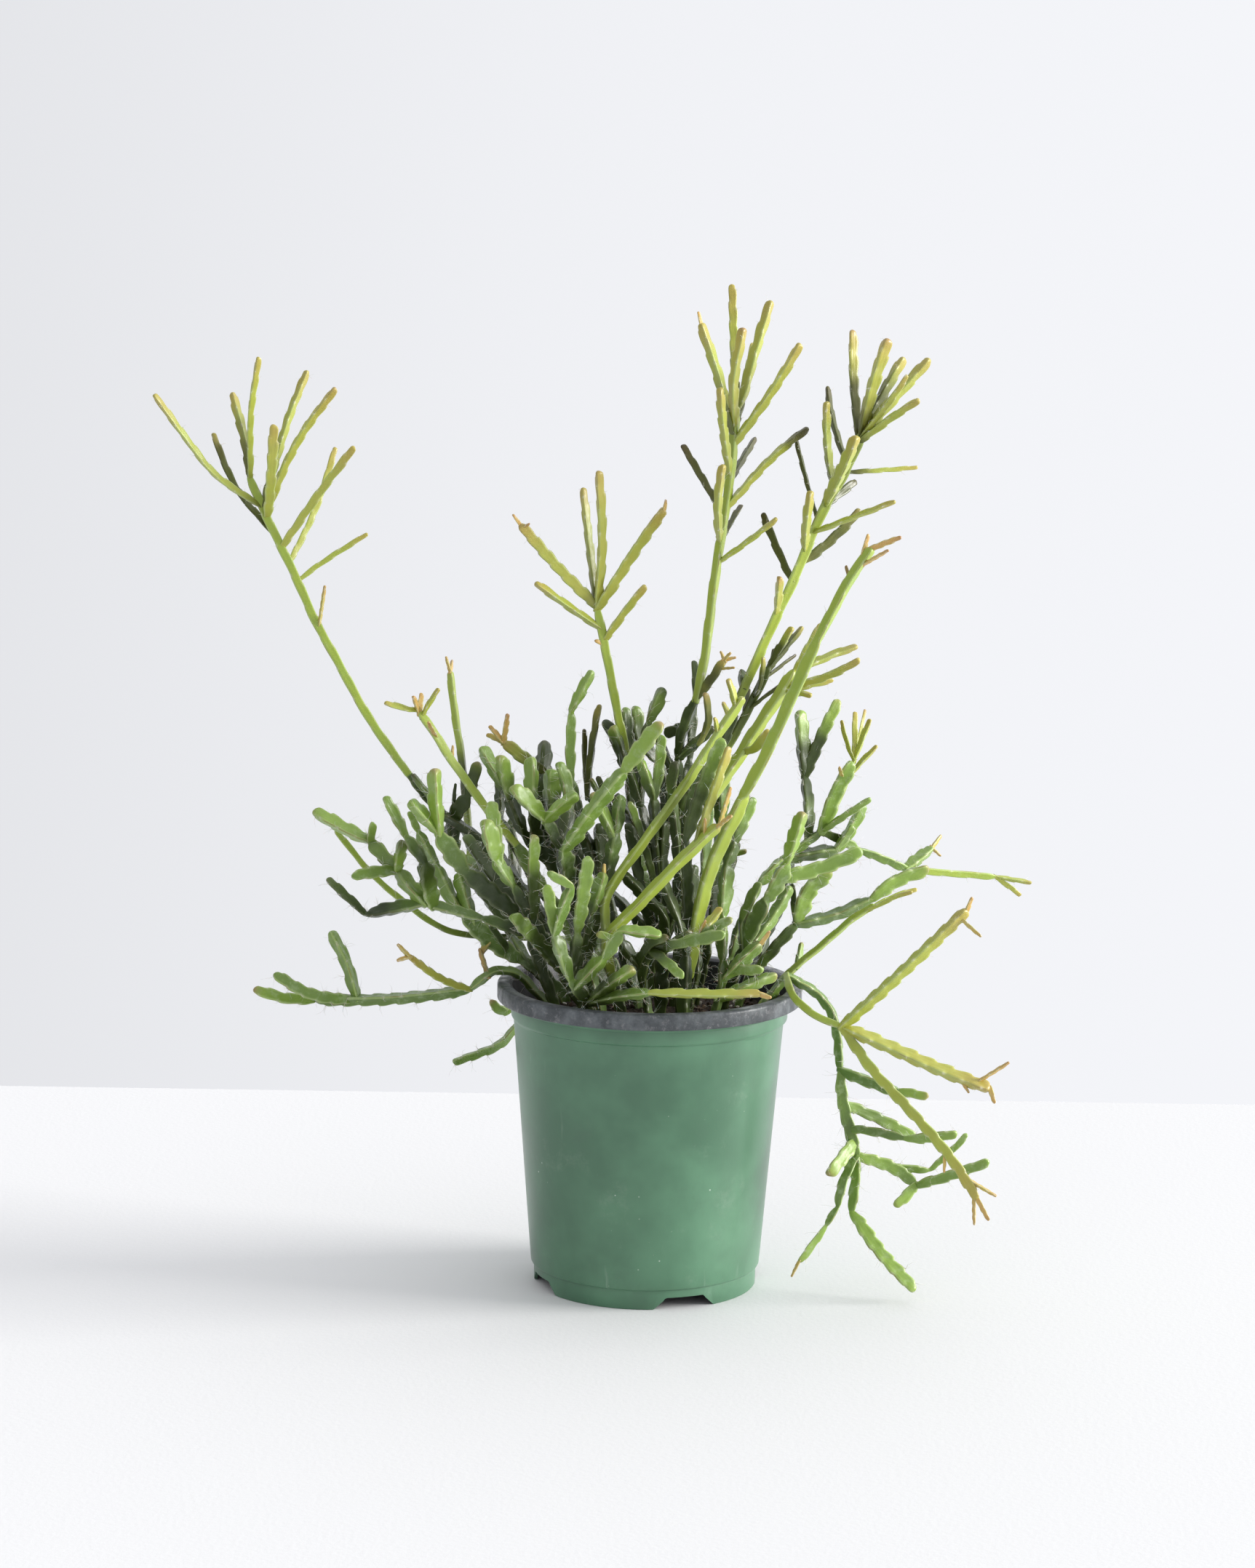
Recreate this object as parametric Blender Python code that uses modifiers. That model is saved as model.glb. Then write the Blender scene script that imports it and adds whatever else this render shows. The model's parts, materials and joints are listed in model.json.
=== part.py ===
"""A potted rhipsalis: a jungle cactus of branching, three-angled, notched stems in a green nursery pot.

Sizes are in millimetres here and become Blender's metres through MM. X runs to the right as the plant is
seen from the front, Y to the back and Z up, from the surface that the pot stands on. Everything is laid out
round the pot's axis and then carried as one, so that the origin lies under the middle of the whole plant.
"""
import math
from collections import namedtuple

import bmesh
import bpy
import numpy as np
from mathutils.bvhtree import BVHTree

MM = 0.001
NAME = "potted_rhipsalis"

# The pot: a thermoformed shell with a rolled lip, a two-step collar, a tapered wall and a notched foot
POT_HEIGHT = 108.5
LIP_RADIUS = 54.0
LIP_DROP = 5.7
LIP_WALL = 1.3
LIP_ROUND = 1.0
COLLAR_RADIUS = 49.9
COLLAR_STEP_HEIGHT = 101.5
COLLAR_STEP = 0.9
COLLAR_BOTTOM = 96.0
WALL_TOP_RADIUS = 47.9
WALL_FOOT_RADIUS = 40.8
FOOT_HEIGHT = 7.5
FOOT_RADIUS = 39.7
FOOT_TAPER = 0.2
WALL = 1.2
FLOOR = 5.0
NOTCH_COUNT = 4
NOTCH_FIRST = math.radians(21)
NOTCH_TOP = 14.0
NOTCH_BOTTOM = 23.0
NOTCH_HEIGHT = 4.3
NOTCH_CUTTER_DEPTH = 8.0
DRAIN_COUNT = 6
DRAIN_RADIUS = 3.2
DRAIN_CIRCLE = 27.0
DRAIN_SIDES = 10
POT_STEPS = 36
CUTTER_REACH = 2.0

# The soil: it fills the pot to about a centimetre below the lip and is a little lumpy on top
SOIL_TOP = 97.5
SOIL_CLEARANCE = 0.7
SOIL_EDGE = 1.5
SOIL_RINGS = (14, 28, 39)
SOIL_STEPS = 30
LUMP_HEIGHT = 0.7
PEG_DEPTH = 11.0
PEG_TOP = 100.0
PEG_SHARE = 0.42
THINNEST_PEG = 4.6
HOLE_CLEARANCE = 0.35
HOLE_SIDES = 5

# How each kind of segment is shaped: the depth of its notches as a share of its width, the length from one
# notch to the next, and the share of its width that it has at its joint and at a free tip
Shape = namedtuple("Shape", "notch band waist tip")
OLD, YOUNG, WAND, BUD = "old", "young", "wand", "bud"
SHAPES = {
    OLD: Shape(notch=0.30, band=7.0, waist=0.45, tip=0.62),
    YOUNG: Shape(notch=0.26, band=11.0, waist=0.50, tip=0.60),
    WAND: Shape(notch=0.16, band=7.0, waist=0.80, tip=0.75),
    BUD: Shape(notch=0.0, band=9.0, waist=0.70, tip=0.50),
}
RIDGE_SHARE = 0.58
RIDGE_TURN = 2.4
FIRST_RIDGE = (0.3, -0.9, 0.2)
JOINT_TAPER = 5.0
LONGEST_JOINT = 0.3
TIP_TAPER = 2.5
LONGEST_TIP = 0.2
SINK = 1.2
ROUTE_SPACING = 3.0
CURVE_STEPS = 8
LEAVING = 0.04
FEWEST_BANDS = 3
FOLLOWS_FROM = 0.965
STRAIGHT_ENOUGH = 0.1
KEPT_SHARES = (0.76, 0.79, 0.82, 0.85, 0.88, 0.92, 1)
SHARPEST_FOLD = math.radians(178)

# How stems make room for each other
CLEARANCE = 0.9
POT_CLEARANCE = 0.6
PLANTED_RADIUS = 45.8
SOIL_GAP = 0.5
GROUND_CLEARANCE = 1.4
SPREAD_STEPS = 160
SEARCH_EVERY = 10
SEARCH_REACH = 8.0
SIDEWAYS = 0.25
DEPTHWAYS = 0.4
BENDING_SHARE = 0.35

# Every rooted stem: where it stands in the soil (X, Y), then its segments, each as its name, the segment
# it grows from, how far along that one, its kind, its width and the points that it passes after its joint
STEMS = {
    "left_wand": ((-20, 16), (
        ("a", None, 1, OLD, 6.2, (-33, 18, 120.5)), ("b", "a", 1, OLD, 6.2, (-46, 18, 139.5)),
        ("c", "b", 1, OLD, 5.7, (-59.5, 15, 156.5)), ("d", "c", 1, OLD, 3.9, (-76, 14, 167)),
        ("e", "d", 1, OLD, 3.6, (-86, 14, 179.5)), ("e2", "d", .75, OLD, 2.6, (-84.5, 8, 181)),
        ("w", "e", 1, WAND, 3.1, (-100.5, 14, 200), (-113, 16, 222), (-120, 18, 234), (-125.5, 20, 246),
         (-131, 22, 257), (-136.5, 24, 267.5), (-144, 26, 284)),
        ("1", "w", .9, YOUNG, 2.6, (-155, 18, 284.5), (-175.5, 8, 313.5)),
        ("2", "w", .8, YOUNG, 2.6, (-151.5, 34, 281.5), (-158, 38, 298)),
        ("3", "w", .98, YOUNG, 3.6, (-148.5, 30, 306), (-150.5, 32, 313)),
        ("4", "w", .99, YOUNG, 2.6, (-143, 18, 304.5), (-139, 8, 327)),
        ("5", "w", .87, YOUNG, 3.9, (-135.5, 16, 283), (-134, 10, 303.5)),
        ("6", "w", .9, YOUNG, 3.1, (-130.5, 30, 304), (-124, 34, 321)),
        ("7", "w", .88, YOUNG, 3.1, (-127.5, 20, 295.5), (-112.5, 12, 316.5)),
        ("8", "w", .77, YOUNG, 3.1, (-122, 20, 274.5), (-106, 14, 296)),
        ("9", "w", .72, YOUNG, 2.6, (-121.5, 32, 270.5), (-114.5, 40, 293.5)),
        ("10", "w", .66, YOUNG, 2.1, (-118, 24, 254), (-102, 28, 264)),
        ("11", "w", .51, BUD, 1.5, (-116, 16, 236.5), (-116, 12, 247)),
        ("k1", "b", 1, OLD, 5.2, (-70.5, 20, 149)), ("k2", "k1", 1, OLD, 6.2, (-71, 18, 162.5)),
        ("k3", "k2", 1, OLD, 5.9, (-65.5, 16, 173)), ("k4", "k3", 1, OLD, 5.2, (-62, 14, 185.5)),
        ("k5", "k2", .9, OLD, 1.5, (-69.5, 14, 177)),
    )),
    "left_pair": ((-11, 4), (
        ("a", None, 1, OLD, 6.2, (-25, 4, 120.5)), ("b", "a", 1, OLD, 6.2, (-37, 3, 139.5)),
        ("c", "b", 1, OLD, 5.2, (-47.5, 2, 156.5)),
        ("A", "c", 1, WAND, 3.4, (-59, 0, 170.5), (-66.5, -2, 181.5), (-71.5, -2, 188),
         (-76.5, -2, 196.5), (-82.5, -2, 204.5)),
        ("A1", "A", 1, YOUNG, 2.6, (-89, -4, 206), (-94, -6, 208)),
        ("A2", "A", .99, BUD, 2.1, (-84, -6, 210.5)), ("A3", "A", .99, BUD, 2.1, (-81.5, 2, 210.5)),
        ("A4", "A", .96, YOUNG, 2.1, (-75, -4, 213)), ("A5", "A", .81, BUD, 1.8, (-78.5, -9, 202)),
        ("A6", "A", .64, BUD, 1.3, (-70.5, 2, 192)),
    )),
    "left_dark": ((-31, 14), (
        ("1", None, 1, OLD, 5.7, (-40.5, 15, 108.5), (-46, 15, 112.5)),
        ("2", "1", 1, OLD, 7.0, (-56.5, 15, 119), (-66.5, 14, 129)),
        ("3", "2", 1, OLD, 5.7, (-72, 13, 137), (-76, 11, 147)),
        ("4", "3", 1, OLD, 4.6, (-80, 9, 154), (-82.5, 7, 160)), ("5", "4", 1, OLD, 3.1, (-86, 6, 167.5)),
        ("6", "2", .8, OLD, 5.4, (-66, 12, 136), (-68.5, 10, 145)),
        ("7", "1", .8, OLD, 5.2, (-50, 22, 120)),
        ("8", "7", 1, OLD, 5.2, (-54.5, 24, 128), (-59.5, 24, 133.5), (-64, 24, 140)),
        ("9", "8", 1, WAND, 2.8, (-65.5, 22, 159.5), (-66.5, 18, 170), (-67.5, 14, 183.5), (-70, 11, 200.5),
         (-72, 10, 217)),
        ("10", "9", 1, BUD, 1.5, (-73.5, 8, 222.5)), ("11", "9", 1, BUD, 1.5, (-71.5, 14, 220.5)),
        ("12", "2", .25, OLD, 2.8, (-51.5, 9, 119), (-57, 7, 126.5)),
        ("13", "2", .5, BUD, 3.1, (-60, 9, 116)),
    )),
    "left_reach": ((-33, -6), (
        ("1", None, 1, OLD, 4.6, (-42.5, -8, 126)), ("2", "1", 1, OLD, 4.4, (-59, -10, 132.5)),
        ("3", "2", 1, OLD, 4.1, (-79, -12, 138)), ("4", "3", 1, OLD, 6.2, (-89, -12, 149.5)),
        ("5", "4", 1, OLD, 5.2, (-98.5, -8, 159)),
        ("6", "5", 1, OLD, 5.2, (-109, -6, 163.5), (-119, -4, 169)),
        ("7", "5", 1, OLD, 3.4, (-97.5, -12, 166.5)), ("8", "4", 1, OLD, 4.4, (-104, -22, 149)),
        ("9", "4", 1, OLD, 4.6, (-86.5, -20, 161.5)), ("11", "3", 1, OLD, 5.2, (-99.5, -8, 133)),
        ("12", "11", 1, OLD, 3.6, (-114, -4, 145)), ("13", "3", .86, OLD, 6.7, (-79, -22, 154.5)),
        ("14", "13", 1, OLD, 4.6, (-85, -26, 164)), ("10", "14", 1, OLD, 4.1, (-92.5, -28, 178.5)),
    )),
    "left_thin": ((-27, 24), (
        ("1", None, 1, OLD, 3.6, (-38, 26, 118.5)),
        ("2", "1", 1, WAND, 2.3, (-64.5, 24, 119.5), (-70.5, 22, 121), (-78, 20, 124.5), (-83.5, 18, 129),
         (-88.5, 16, 133.5), (-94.5, 14, 138.5), (-101.5, 12, 146), (-108, 10, 154.5), (-112, 8, 160)),
        ("3", "1", 1, OLD, 4.6, (-47, 30, 132.5)), ("4", "3", 1, OLD, 4.6, (-60.5, 34, 148.5)),
        ("5", "4", 1, OLD, 3.6, (-72.5, 36, 160.5)), ("6", "3", 1, OLD, 4.1, (-50.5, 34, 152.5)),
        ("7", "6", 1, OLD, 4.1, (-47.5, 36, 173)),
    )),
    "left_low": ((-37, 4), (
        ("1", None, 1, OLD, 3.4, (-49, 3, 111), (-53.5, 2, 111.5), (-57, 1, 109.5), (-63.5, 0, 105)),
        ("2", "1", 1, OLD, 4.4, (-75.5, -2, 103.5), (-95, 0, 101), (-118.5, 4, 99.5)),
        ("3", "1", 1, YOUNG, 2.8, (-70, -8, 108.5), (-76, -18, 114), (-83.5, -30, 122.5)),
        ("4", "3", 1, BUD, 1.8, (-87.5, -32, 127.5)), ("5", "3", 1, BUD, 1.8, (-87.5, -34, 122)),
        ("6", "2", .73, OLD, 4.6, (-107.5, 6, 112), (-113.5, 6, 124)),
        ("7", "2", .78, OLD, 4.4, (-120, -8, 104), (-132, -12, 112)),
        ("8", "2", .97, OLD, 4.1, (-129, -4, 101.5), (-139.5, -8, 105.5)),
        ("9", "1", .77, BUD, 2.1, (-60, 10, 117)),
    )),
    "left_front": ((-20, -20), (
        ("1", None, 1, OLD, 6.2, (-31, -26, 118.5)), ("2", "1", 1, OLD, 6.7, (-45, -30, 136.5)),
        ("3", "2", 1, OLD, 7.0, (-64, -34, 153.5)), ("4", "3", 1, OLD, 7.2, (-73.5, -37, 167.5)),
        ("5", "4", 1, OLD, 5.2, (-83, -42, 179.5)), ("6", "4", .95, OLD, 5.4, (-74.5, -44, 191)),
        ("7", "1", .9, OLD, 4.6, (-47.5, -38, 149.5)), ("8", "7", 1, OLD, 5.2, (-53.5, -42, 159.5)),
        ("9", "8", 1, OLD, 6.7, (-57, -46, 174)), ("10", "8", .85, OLD, 5.2, (-55.5, -32, 178)),
        ("11", "1", .97, OLD, 5.7, (-47.5, -50, 141.5)), ("12", "2", .8, OLD, 4.6, (-65, -26, 165)),
        ("13", "7", .6, OLD, 4.6, (-40.5, -40, 168)),
    )),
    "left_crown": ((-8, 18), (
        ("1", None, 1, OLD, 6.2, (-20, 16, 120.5)), ("2", "1", 1, OLD, 6.2, (-29, 14, 140.5)),
        ("3", "2", 1, OLD, 6.2, (-39.5, 14, 165)), ("4", "3", 1, OLD, 5.7, (-38.5, 16, 180.5)),
        ("5", "4", 1, YOUNG, 4.6, (-45, 14, 185.5), (-53, 12, 192)),
        ("6", "5", 1, BUD, 2.3, (-58, 10, 198)), ("7", "5", 1, BUD, 2.3, (-59, 16, 194)),
        ("8", "5", 1, BUD, 2.3, (-51.5, 10, 202.5)), ("9", "2", 1, OLD, 6.2, (-45, 6, 160)),
        ("10", "9", 1, OLD, 5.7, (-50.5, 4, 173.5)), ("11", "10", 1, OLD, 5.4, (-60.5, 4, 191.5)),
        ("12", "10", .93, OLD, 5.7, (-53.5, -4, 189.5)), ("13", "9", .7, OLD, 5.2, (-42, -6, 172.5)),
        ("14", "13", 1, OLD, 5.7, (-42.5, -8, 190)), ("15", "3", .95, OLD, 6.2, (-38.5, 24, 191)),
        ("16", "3", .5, OLD, 6.7, (-35.5, -2, 184.5)), ("17", "1", .9, OLD, 5.2, (-37, 24, 132.5)),
        ("18", "17", 1, OLD, 4.6, (-54, 26, 161.5)), ("19", "18", 1, OLD, 4.1, (-54.5, 28, 177.5)),
        ("20", "1", 1, OLD, 5.2, (-25.5, 10, 144.5)), ("21", "20", 1, OLD, 5.2, (-27, 8, 157)),
    )),
    "centre_left": ((-17, -10), (
        ("1", None, 1, OLD, 6.2, (-23, -14, 120.5)), ("2", "1", 1, OLD, 5.7, (-28, -18, 140.5)),
        ("3", "2", 1, OLD, 4.6, (-32, -22, 160.5)), ("4", "3", 1, OLD, 4.6, (-37, -26, 170.5)),
        ("5", "4", 1, OLD, 6.2, (-48.5, -34, 183.5)), ("6", "4", 1, OLD, 5.4, (-26, -32, 181)),
        ("7", "3", 1, OLD, 4.6, (-29, -14, 172)), ("8", "2", .9, OLD, 6.2, (-30, -36, 162)),
        ("9", "8", 1, OLD, 5.9, (-10, -46, 191.5)), ("10", "9", 1, OLD, 5.9, (2.5, -54, 209.5)),
        ("11", "3", .6, OLD, 4.9, (-29.5, -8, 177.5), (-33, -10, 188.5)),
        ("12", "1", .93, OLD, 5.2, (-17, -20, 142.5)), ("13", "12", 1, OLD, 5.7, (-12.5, -22, 166)),
        ("14", "13", .9, OLD, 4.6, (-21, -26, 180.5)), ("15", "13", 1, OLD, 5.2, (-11, -20, 179)),
    )),
    "centre_spire": ((-4, 8), (
        ("1", None, 1, OLD, 5.7, (-9.5, 7, 120)), ("2", "1", 1, OLD, 5.7, (-17, 6, 142.5)),
        ("3", "2", 1, OLD, 5.2, (-24.5, 5, 162)), ("4", "3", 1, OLD, 3.6, (-28.5, 4, 180)),
        ("5", "4", 1, OLD, 3.9, (-29.5, 4, 189.5), (-29, 4, 204)),
        ("6", "5", 1, OLD, 4.1, (-21.5, 0, 219.5)), ("7", "2", .9, OLD, 5.2, (-12.5, 12, 162.5)),
        ("8", "7", 1, OLD, 3.4, (-22.5, 16, 172)), ("9", "8", 1, YOUNG, 2.3, (-24, 20, 196)),
        ("10", "8", 1, YOUNG, 2.8, (-18.5, 12, 206)), ("11", "7", 1, OLD, 2.3, (-21.5, 8, 180)),
        ("12", "7", 1, OLD, 2.6, (-19, 14, 180)), ("13", "3", .7, OLD, 4.6, (-32.5, -4, 172)),
        ("14", "2", 1, OLD, 5.7, (-18.5, 2, 165)),
    )),
    "mid_wand": ((2, 24), (
        ("1", None, 1, OLD, 5.7, (0.5, 24, 121.5)), ("2", "1", 1, OLD, 5.7, (-3.5, 22, 145)),
        ("3", "2", 1, OLD, 5.2, (-7.5, 20, 165.5)), ("4", "3", 1, OLD, 4.1, (-8.5, 18, 184.5)),
        ("w", "4", 1, WAND, 3.1, (-12, 14, 198.5), (-15.5, 10, 216.5), (-18, 8, 229), (-20.5, 8, 241)),
        ("5", "w", 1, YOUNG, 4.1, (-35, 2, 256), (-47.5, -4, 271)),
        ("6", "5", 1, BUD, 1.5, (-50, -5, 274.5)), ("7", "5", .96, BUD, 1.3, (-44, -6, 271.5)),
        ("8", "w", 1, YOUNG, 3.1, (-26, 14, 282.5)),
        ("9", "w", 1, YOUNG, 3.6, (-19, 2, 264.5), (-20.5, -4, 290)),
        ("10", "w", .99, YOUNG, 4.1, (-4, 2, 267.5), (2.5, -4, 277)),
        ("11", "10", 1, BUD, 1.5, (3, -6, 280.5)),
        ("12", "w", .87, YOUNG, 3.1, (-31.5, 2, 242.5), (-42, -2, 250.5)),
        ("13", "w", .79, YOUNG, 3.1, (-3.5, 4, 249.5)), ("14", "w", .77, BUD, 2.1, (-21, 6, 229.5)),
        ("15", "4", .9, OLD, 4.9, (-17.5, 22, 199)), ("16", "4", .75, OLD, 4.6, (-14.5, 10, 198.5)),
        ("17", "4", .95, OLD, 4.9, (-10, 20, 204)), ("18", "2", 1, OLD, 5.2, (6, 30, 159.5)),
        ("19", "18", 1, OLD, 4.6, (3, 32, 182)),
        ("20", "19", 1, OLD, 5.2, (-4.5, 28, 190), (-6.5, 27, 203.5)),
        ("21", "3", .8, OLD, 4.6, (-13, 6, 174)), ("22", "1", 1, OLD, 4.6, (-16, 30, 136)),
        ("23", "22", 1, OLD, 4.6, (-25.5, 32, 156)), ("24", "23", 1, OLD, 4.1, (-30, 32, 177)),
    )),
    "centre": ((4, -4), (
        ("1", None, 1, OLD, 5.7, (4.5, -4, 121.5)), ("2", "1", 1, OLD, 5.7, (3.5, -4, 144.5)),
        ("3", "2", 1, OLD, 4.1, (-4, -4, 173)), ("4", "3", 1, OLD, 4.1, (-8.5, -2, 186)),
        ("5", "2", .9, OLD, 4.6, (0.5, -12, 176.5)), ("6", "5", 1, OLD, 4.6, (-4, -16, 190.5)),
        ("7", "5", 1, OLD, 4.1, (2.5, -10, 188.5), (3, -12, 199)),
        ("8", "1", .95, OLD, 4.1, (11, -12, 141)), ("9", "8", 1, OLD, 4.1, (7, -18, 179.5)),
        ("10", "9", 1, OLD, 4.4, (8.5, -22, 191.5)), ("11", "3", 1, OLD, 4.6, (-4, 6, 189)),
        ("12", "11", 1, OLD, 4.1, (-1.5, 4, 201)), ("13", "12", 1, OLD, 5.2, (3.5, 4, 213.5)),
        ("14", "2", .6, OLD, 3.1, (-8.5, -22, 177)), ("15", "9", .4, OLD, 4.6, (18.5, -6, 186.5)),
        ("16", "1", .9, OLD, 4.4, (-3, -10, 142)), ("17", "16", 1, OLD, 4.4, (-8.5, -14, 168)),
        ("18", "1", .8, OLD, 4.6, (5.5, -15, 133.5), (-2.5, -17, 143.5), (-10, -18, 151)),
        ("19", "2", 1, OLD, 4.6, (4.5, -8, 168)),
    )),
    "tall_wand": ((9, 10), (
        ("1", None, 1, OLD, 5.7, (11, 10, 121)), ("2", "1", 1, OLD, 5.2, (10.5, 9, 143)),
        ("3", "2", 1, OLD, 4.6, (9, 8, 165.5)), ("4", "3", 1, OLD, 4.1, (9, 6, 188)),
        ("5", "4", 1, OLD, 4.1, (10.5, 5, 199.5), (15, 3, 209.5)),
        ("w", "5", 1, WAND, 3.6, (18, 3, 225.5), (20, 3, 245.5), (22.5, 3, 265.5), (25.5, 3, 288.5),
         (27, 3, 310.5)),
        ("6", "5", .5, OLD, 4.9, (9.5, 14, 198), (3, 16, 195.5)), ("7", "4", 1, OLD, 2.6, (15.5, -2, 194)),
        ("8", "7", 1, YOUNG, 2.8, (20.5, -4, 203), (17.5, -8, 213.5)),
        ("9", "5", .97, OLD, 3.6, (14, 12, 222)),
        ("10", "5", .98, YOUNG, 3.6, (20.5, 0, 217), (24.5, -3, 224.5)),
        ("11", "10", 1, BUD, 1.5, (23, -2, 227.5)), ("12", "10", 1, BUD, 1.5, (26.5, -6, 227.5)),
        ("13", "10", 1, BUD, 1.5, (28.5, -3, 225.5)), ("14", "10", .8, BUD, 1.3, (28, -8, 222.5)),
        ("t1", "w", .99, YOUNG, 3.1, (26, 14, 331), (25, 18, 354)),
        ("t2", "w", .95, YOUNG, 3.9, (25.5, -8, 320.5), (28.5, -12, 340.5)),
        ("t3", "w", .92, YOUNG, 3.9, (20.5, -2, 323.5), (14, -6, 341.5)),
        ("t4", "t3", 1, BUD, 1.5, (13, -7, 345.5)),
        ("t5", "w", .98, YOUNG, 4.1, (35, 6, 337.5), (38.5, 8, 349)),
        ("t6", "w", .95, YOUNG, 3.1, (30, 16, 319.5), (33, 22, 333.5)),
        ("t7", "w", .89, YOUNG, 3.6, (42, -8, 323.5), (48, -14, 335.5)),
        ("t8", "w", .78, YOUNG, 3.4, (22, -8, 306.5), (21, -14, 320)),
        ("t9", "w", .55, YOUNG, 3.4, (20, -8, 279), (22.5, -12, 293.5)),
        ("t10", "w", .64, YOUNG, 2.8, (14.5, 10, 288), (8.5, 14, 298)),
        ("t11", "w", .67, YOUNG, 3.1, (42, 8, 297), (52.5, 8, 305)),
        ("t12", "w", .76, YOUNG, 2.6, (34.5, 24, 300)), ("t13", "w", .55, YOUNG, 2.3, (30, 20, 276.5)),
        ("t14", "w", .48, YOUNG, 2.3, (32.5, -4, 266.5), (41.5, -10, 275)),
        ("15", "3", .9, OLD, 4.6, (13, 18, 185.5)), ("16", "15", 1, OLD, 3.6, (14, 20, 205.5)),
        ("17", "2", .6, OLD, 4.1, (13.5, 16, 143)), ("18", "3", 1, OLD, 6.2, (12, 3, 175), (18.5, 2, 186)),
        ("19", "4", .6, OLD, 3.6, (1.5, 4, 195.5)), ("20", "4", 1, OLD, 4.1, (21.5, 6, 199.5)),
    )),
    "right_wand": ((17, 14), (
        ("1", None, 1, OLD, 5.7, (21, 14, 121)), ("2", "1", 1, OLD, 5.2, (22.5, 12, 142)),
        ("3", "2", 1, OLD, 4.6, (24, 10, 165)), ("4", "3", 1, OLD, 4.1, (23, 8, 190.5)),
        ("5", "4", 1, OLD, 3.9, (28.5, 6, 209)),
        ("w", "5", 1, WAND, 3.6, (36.5, 5, 228), (42, 5, 241), (47, 5, 252), (51, 5, 262.5),
         (55.5, 5, 274), (60.5, 5, 284), (65, 5, 292), (70, 4, 304.5)),
        ("6", "w", .05, OLD, 4.1, (30, 12, 219)),
        ("t1", "w", .97, YOUNG, 3.6, (67, 14, 320), (66.5, 18, 339)),
        ("t2", "w", .99, YOUNG, 4.6, (72.5, -4, 322.5), (77.5, -8, 337.5)),
        ("t3", "w", .99, YOUNG, 4.1, (77.5, 8, 319), (84.5, 12, 330)),
        ("t4", "w", .97, YOUNG, 2.3, (79, -10, 316.5), (84, -14, 325.5)),
        ("t5", "w", .99, YOUNG, 4.1, (81, 0, 317), (92.5, -2, 330.5)),
        ("t6", "w", .96, YOUNG, 3.1, (80.5, -6, 311.5), (88.5, -12, 317)),
        ("t7", "w", .88, YOUNG, 2.6, (59.5, 14, 307), (58.5, 20, 319)),
        ("t8", "w", .79, YOUNG, 3.1, (57, -2, 298), (57, -6, 315.5)),
        ("t9", "w", .73, YOUNG, 4.4, (63.5, -10, 293), (67, -16, 304.5)),
        ("t10", "w", .85, YOUNG, 1.8, (78, 10, 290.5), (90.5, 14, 291.5)),
        ("t11", "w", .72, YOUNG, 3.1, (69, 18, 286)),
        ("t12", "w", .67, YOUNG, 1.8, (51, 10, 287.5), (47, 14, 302.5)),
        ("t13", "w", .56, YOUNG, 3.4, (50.5, -8, 273), (52, -12, 285)),
        ("t14", "w", .62, YOUNG, 2.3, (66.5, -4, 275), (81.5, -8, 281.5)),
        ("t15", "w", .51, YOUNG, 3.6, (60.5, 10, 265), (70.5, 14, 276.5)),
        ("t16", "w", .45, YOUNG, 3.1, (41.5, 12, 263), (36.5, 16, 274.5)),
        ("t17", "w", .32, YOUNG, 3.1, (42, -8, 254.5)), ("7", "3", .9, OLD, 4.4, (21, 22, 180)),
        ("8", "2", .8, OLD, 4.6, (26.5, 18, 152)), ("9", "8", 1, OLD, 3.6, (30, 20, 161.5)),
        ("10", "8", .9, OLD, 2.6, (34, 14, 154)), ("11", "9", .9, OLD, 3.4, (34.5, 24, 172.5)),
        ("12", "1", 1, OLD, 4.6, (25.5, 24, 135.5)), ("13", "12", 1, OLD, 4.1, (31, 30, 154.5)),
    )),
    "second_wand": ((14, -8), (
        ("1", None, 1, OLD, 5.2, (17, -8, 121)), ("2", "1", 1, OLD, 4.6, (18.5, -7, 142)),
        ("3", "2", 1, OLD, 4.4, (19.5, -6, 173.5)),
        ("w", "3", 1, WAND, 4.6, (24, -4, 181), (30.5, -3, 190.5), (36.5, -2, 200.5), (43, -2, 210.5),
         (49, -2, 221)),
        ("4", "w", 1, YOUNG, 3.4, (53.5, -6, 229.5), (57.5, -10, 238.5)),
        ("5", "w", .97, YOUNG, 3.1, (59.5, 6, 225), (71.5, 8, 228.5)),
        ("6", "w", .9, YOUNG, 3.1, (59, -8, 218.5), (71, -14, 227)),
        ("7", "w", .84, YOUNG, 2.6, (63, 4, 217)), ("8", "w", .86, YOUNG, 2.6, (55, -8, 213)),
        ("9", "w", .41, YOUNG, 3.6, (36.5, -10, 194.5), (40, -12, 201.5)),
        ("x", "2", .95, WAND, 3.1, (23.5, 12, 181.5), (29.5, 12, 195.5), (35, 12, 208), (40.5, 12, 220.5)),
        ("x1", "x", .86, YOUNG, 2.1, (38, 4, 215), (38.5, 2, 225)),
        ("x2", "x", .94, YOUNG, 2.1, (41.5, 16, 219), (42.5, 18, 226)),
        ("x3", "x", .98, YOUNG, 3.1, (48.5, 8, 235)), ("x4", "x", .97, YOUNG, 2.6, (52.5, 18, 234)),
        ("x5", "x", .93, YOUNG, 1.5, (50.5, 22, 223.5)), ("x6", "x", .8, YOUNG, 1.5, (46, 6, 215.5)),
        ("x7", "x", .78, YOUNG, 2.1, (34.5, 20, 211)), ("10", "1", .6, OLD, 3.6, (8, -6, 132.5)),
        ("11", "10", 1, OLD, 3.6, (7.5, -8, 147)), ("12", "1", 1, OLD, 4.4, (14, -10, 138), (15, -11, 153)),
    )),
    "front_wand": ((11, -24), (
        ("1", None, 1, OLD, 5.2, (13, -26, 117)),
        ("v", "1", 1, WAND, 4.9, (19, -36, 153), (31, -43, 183)),
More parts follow.
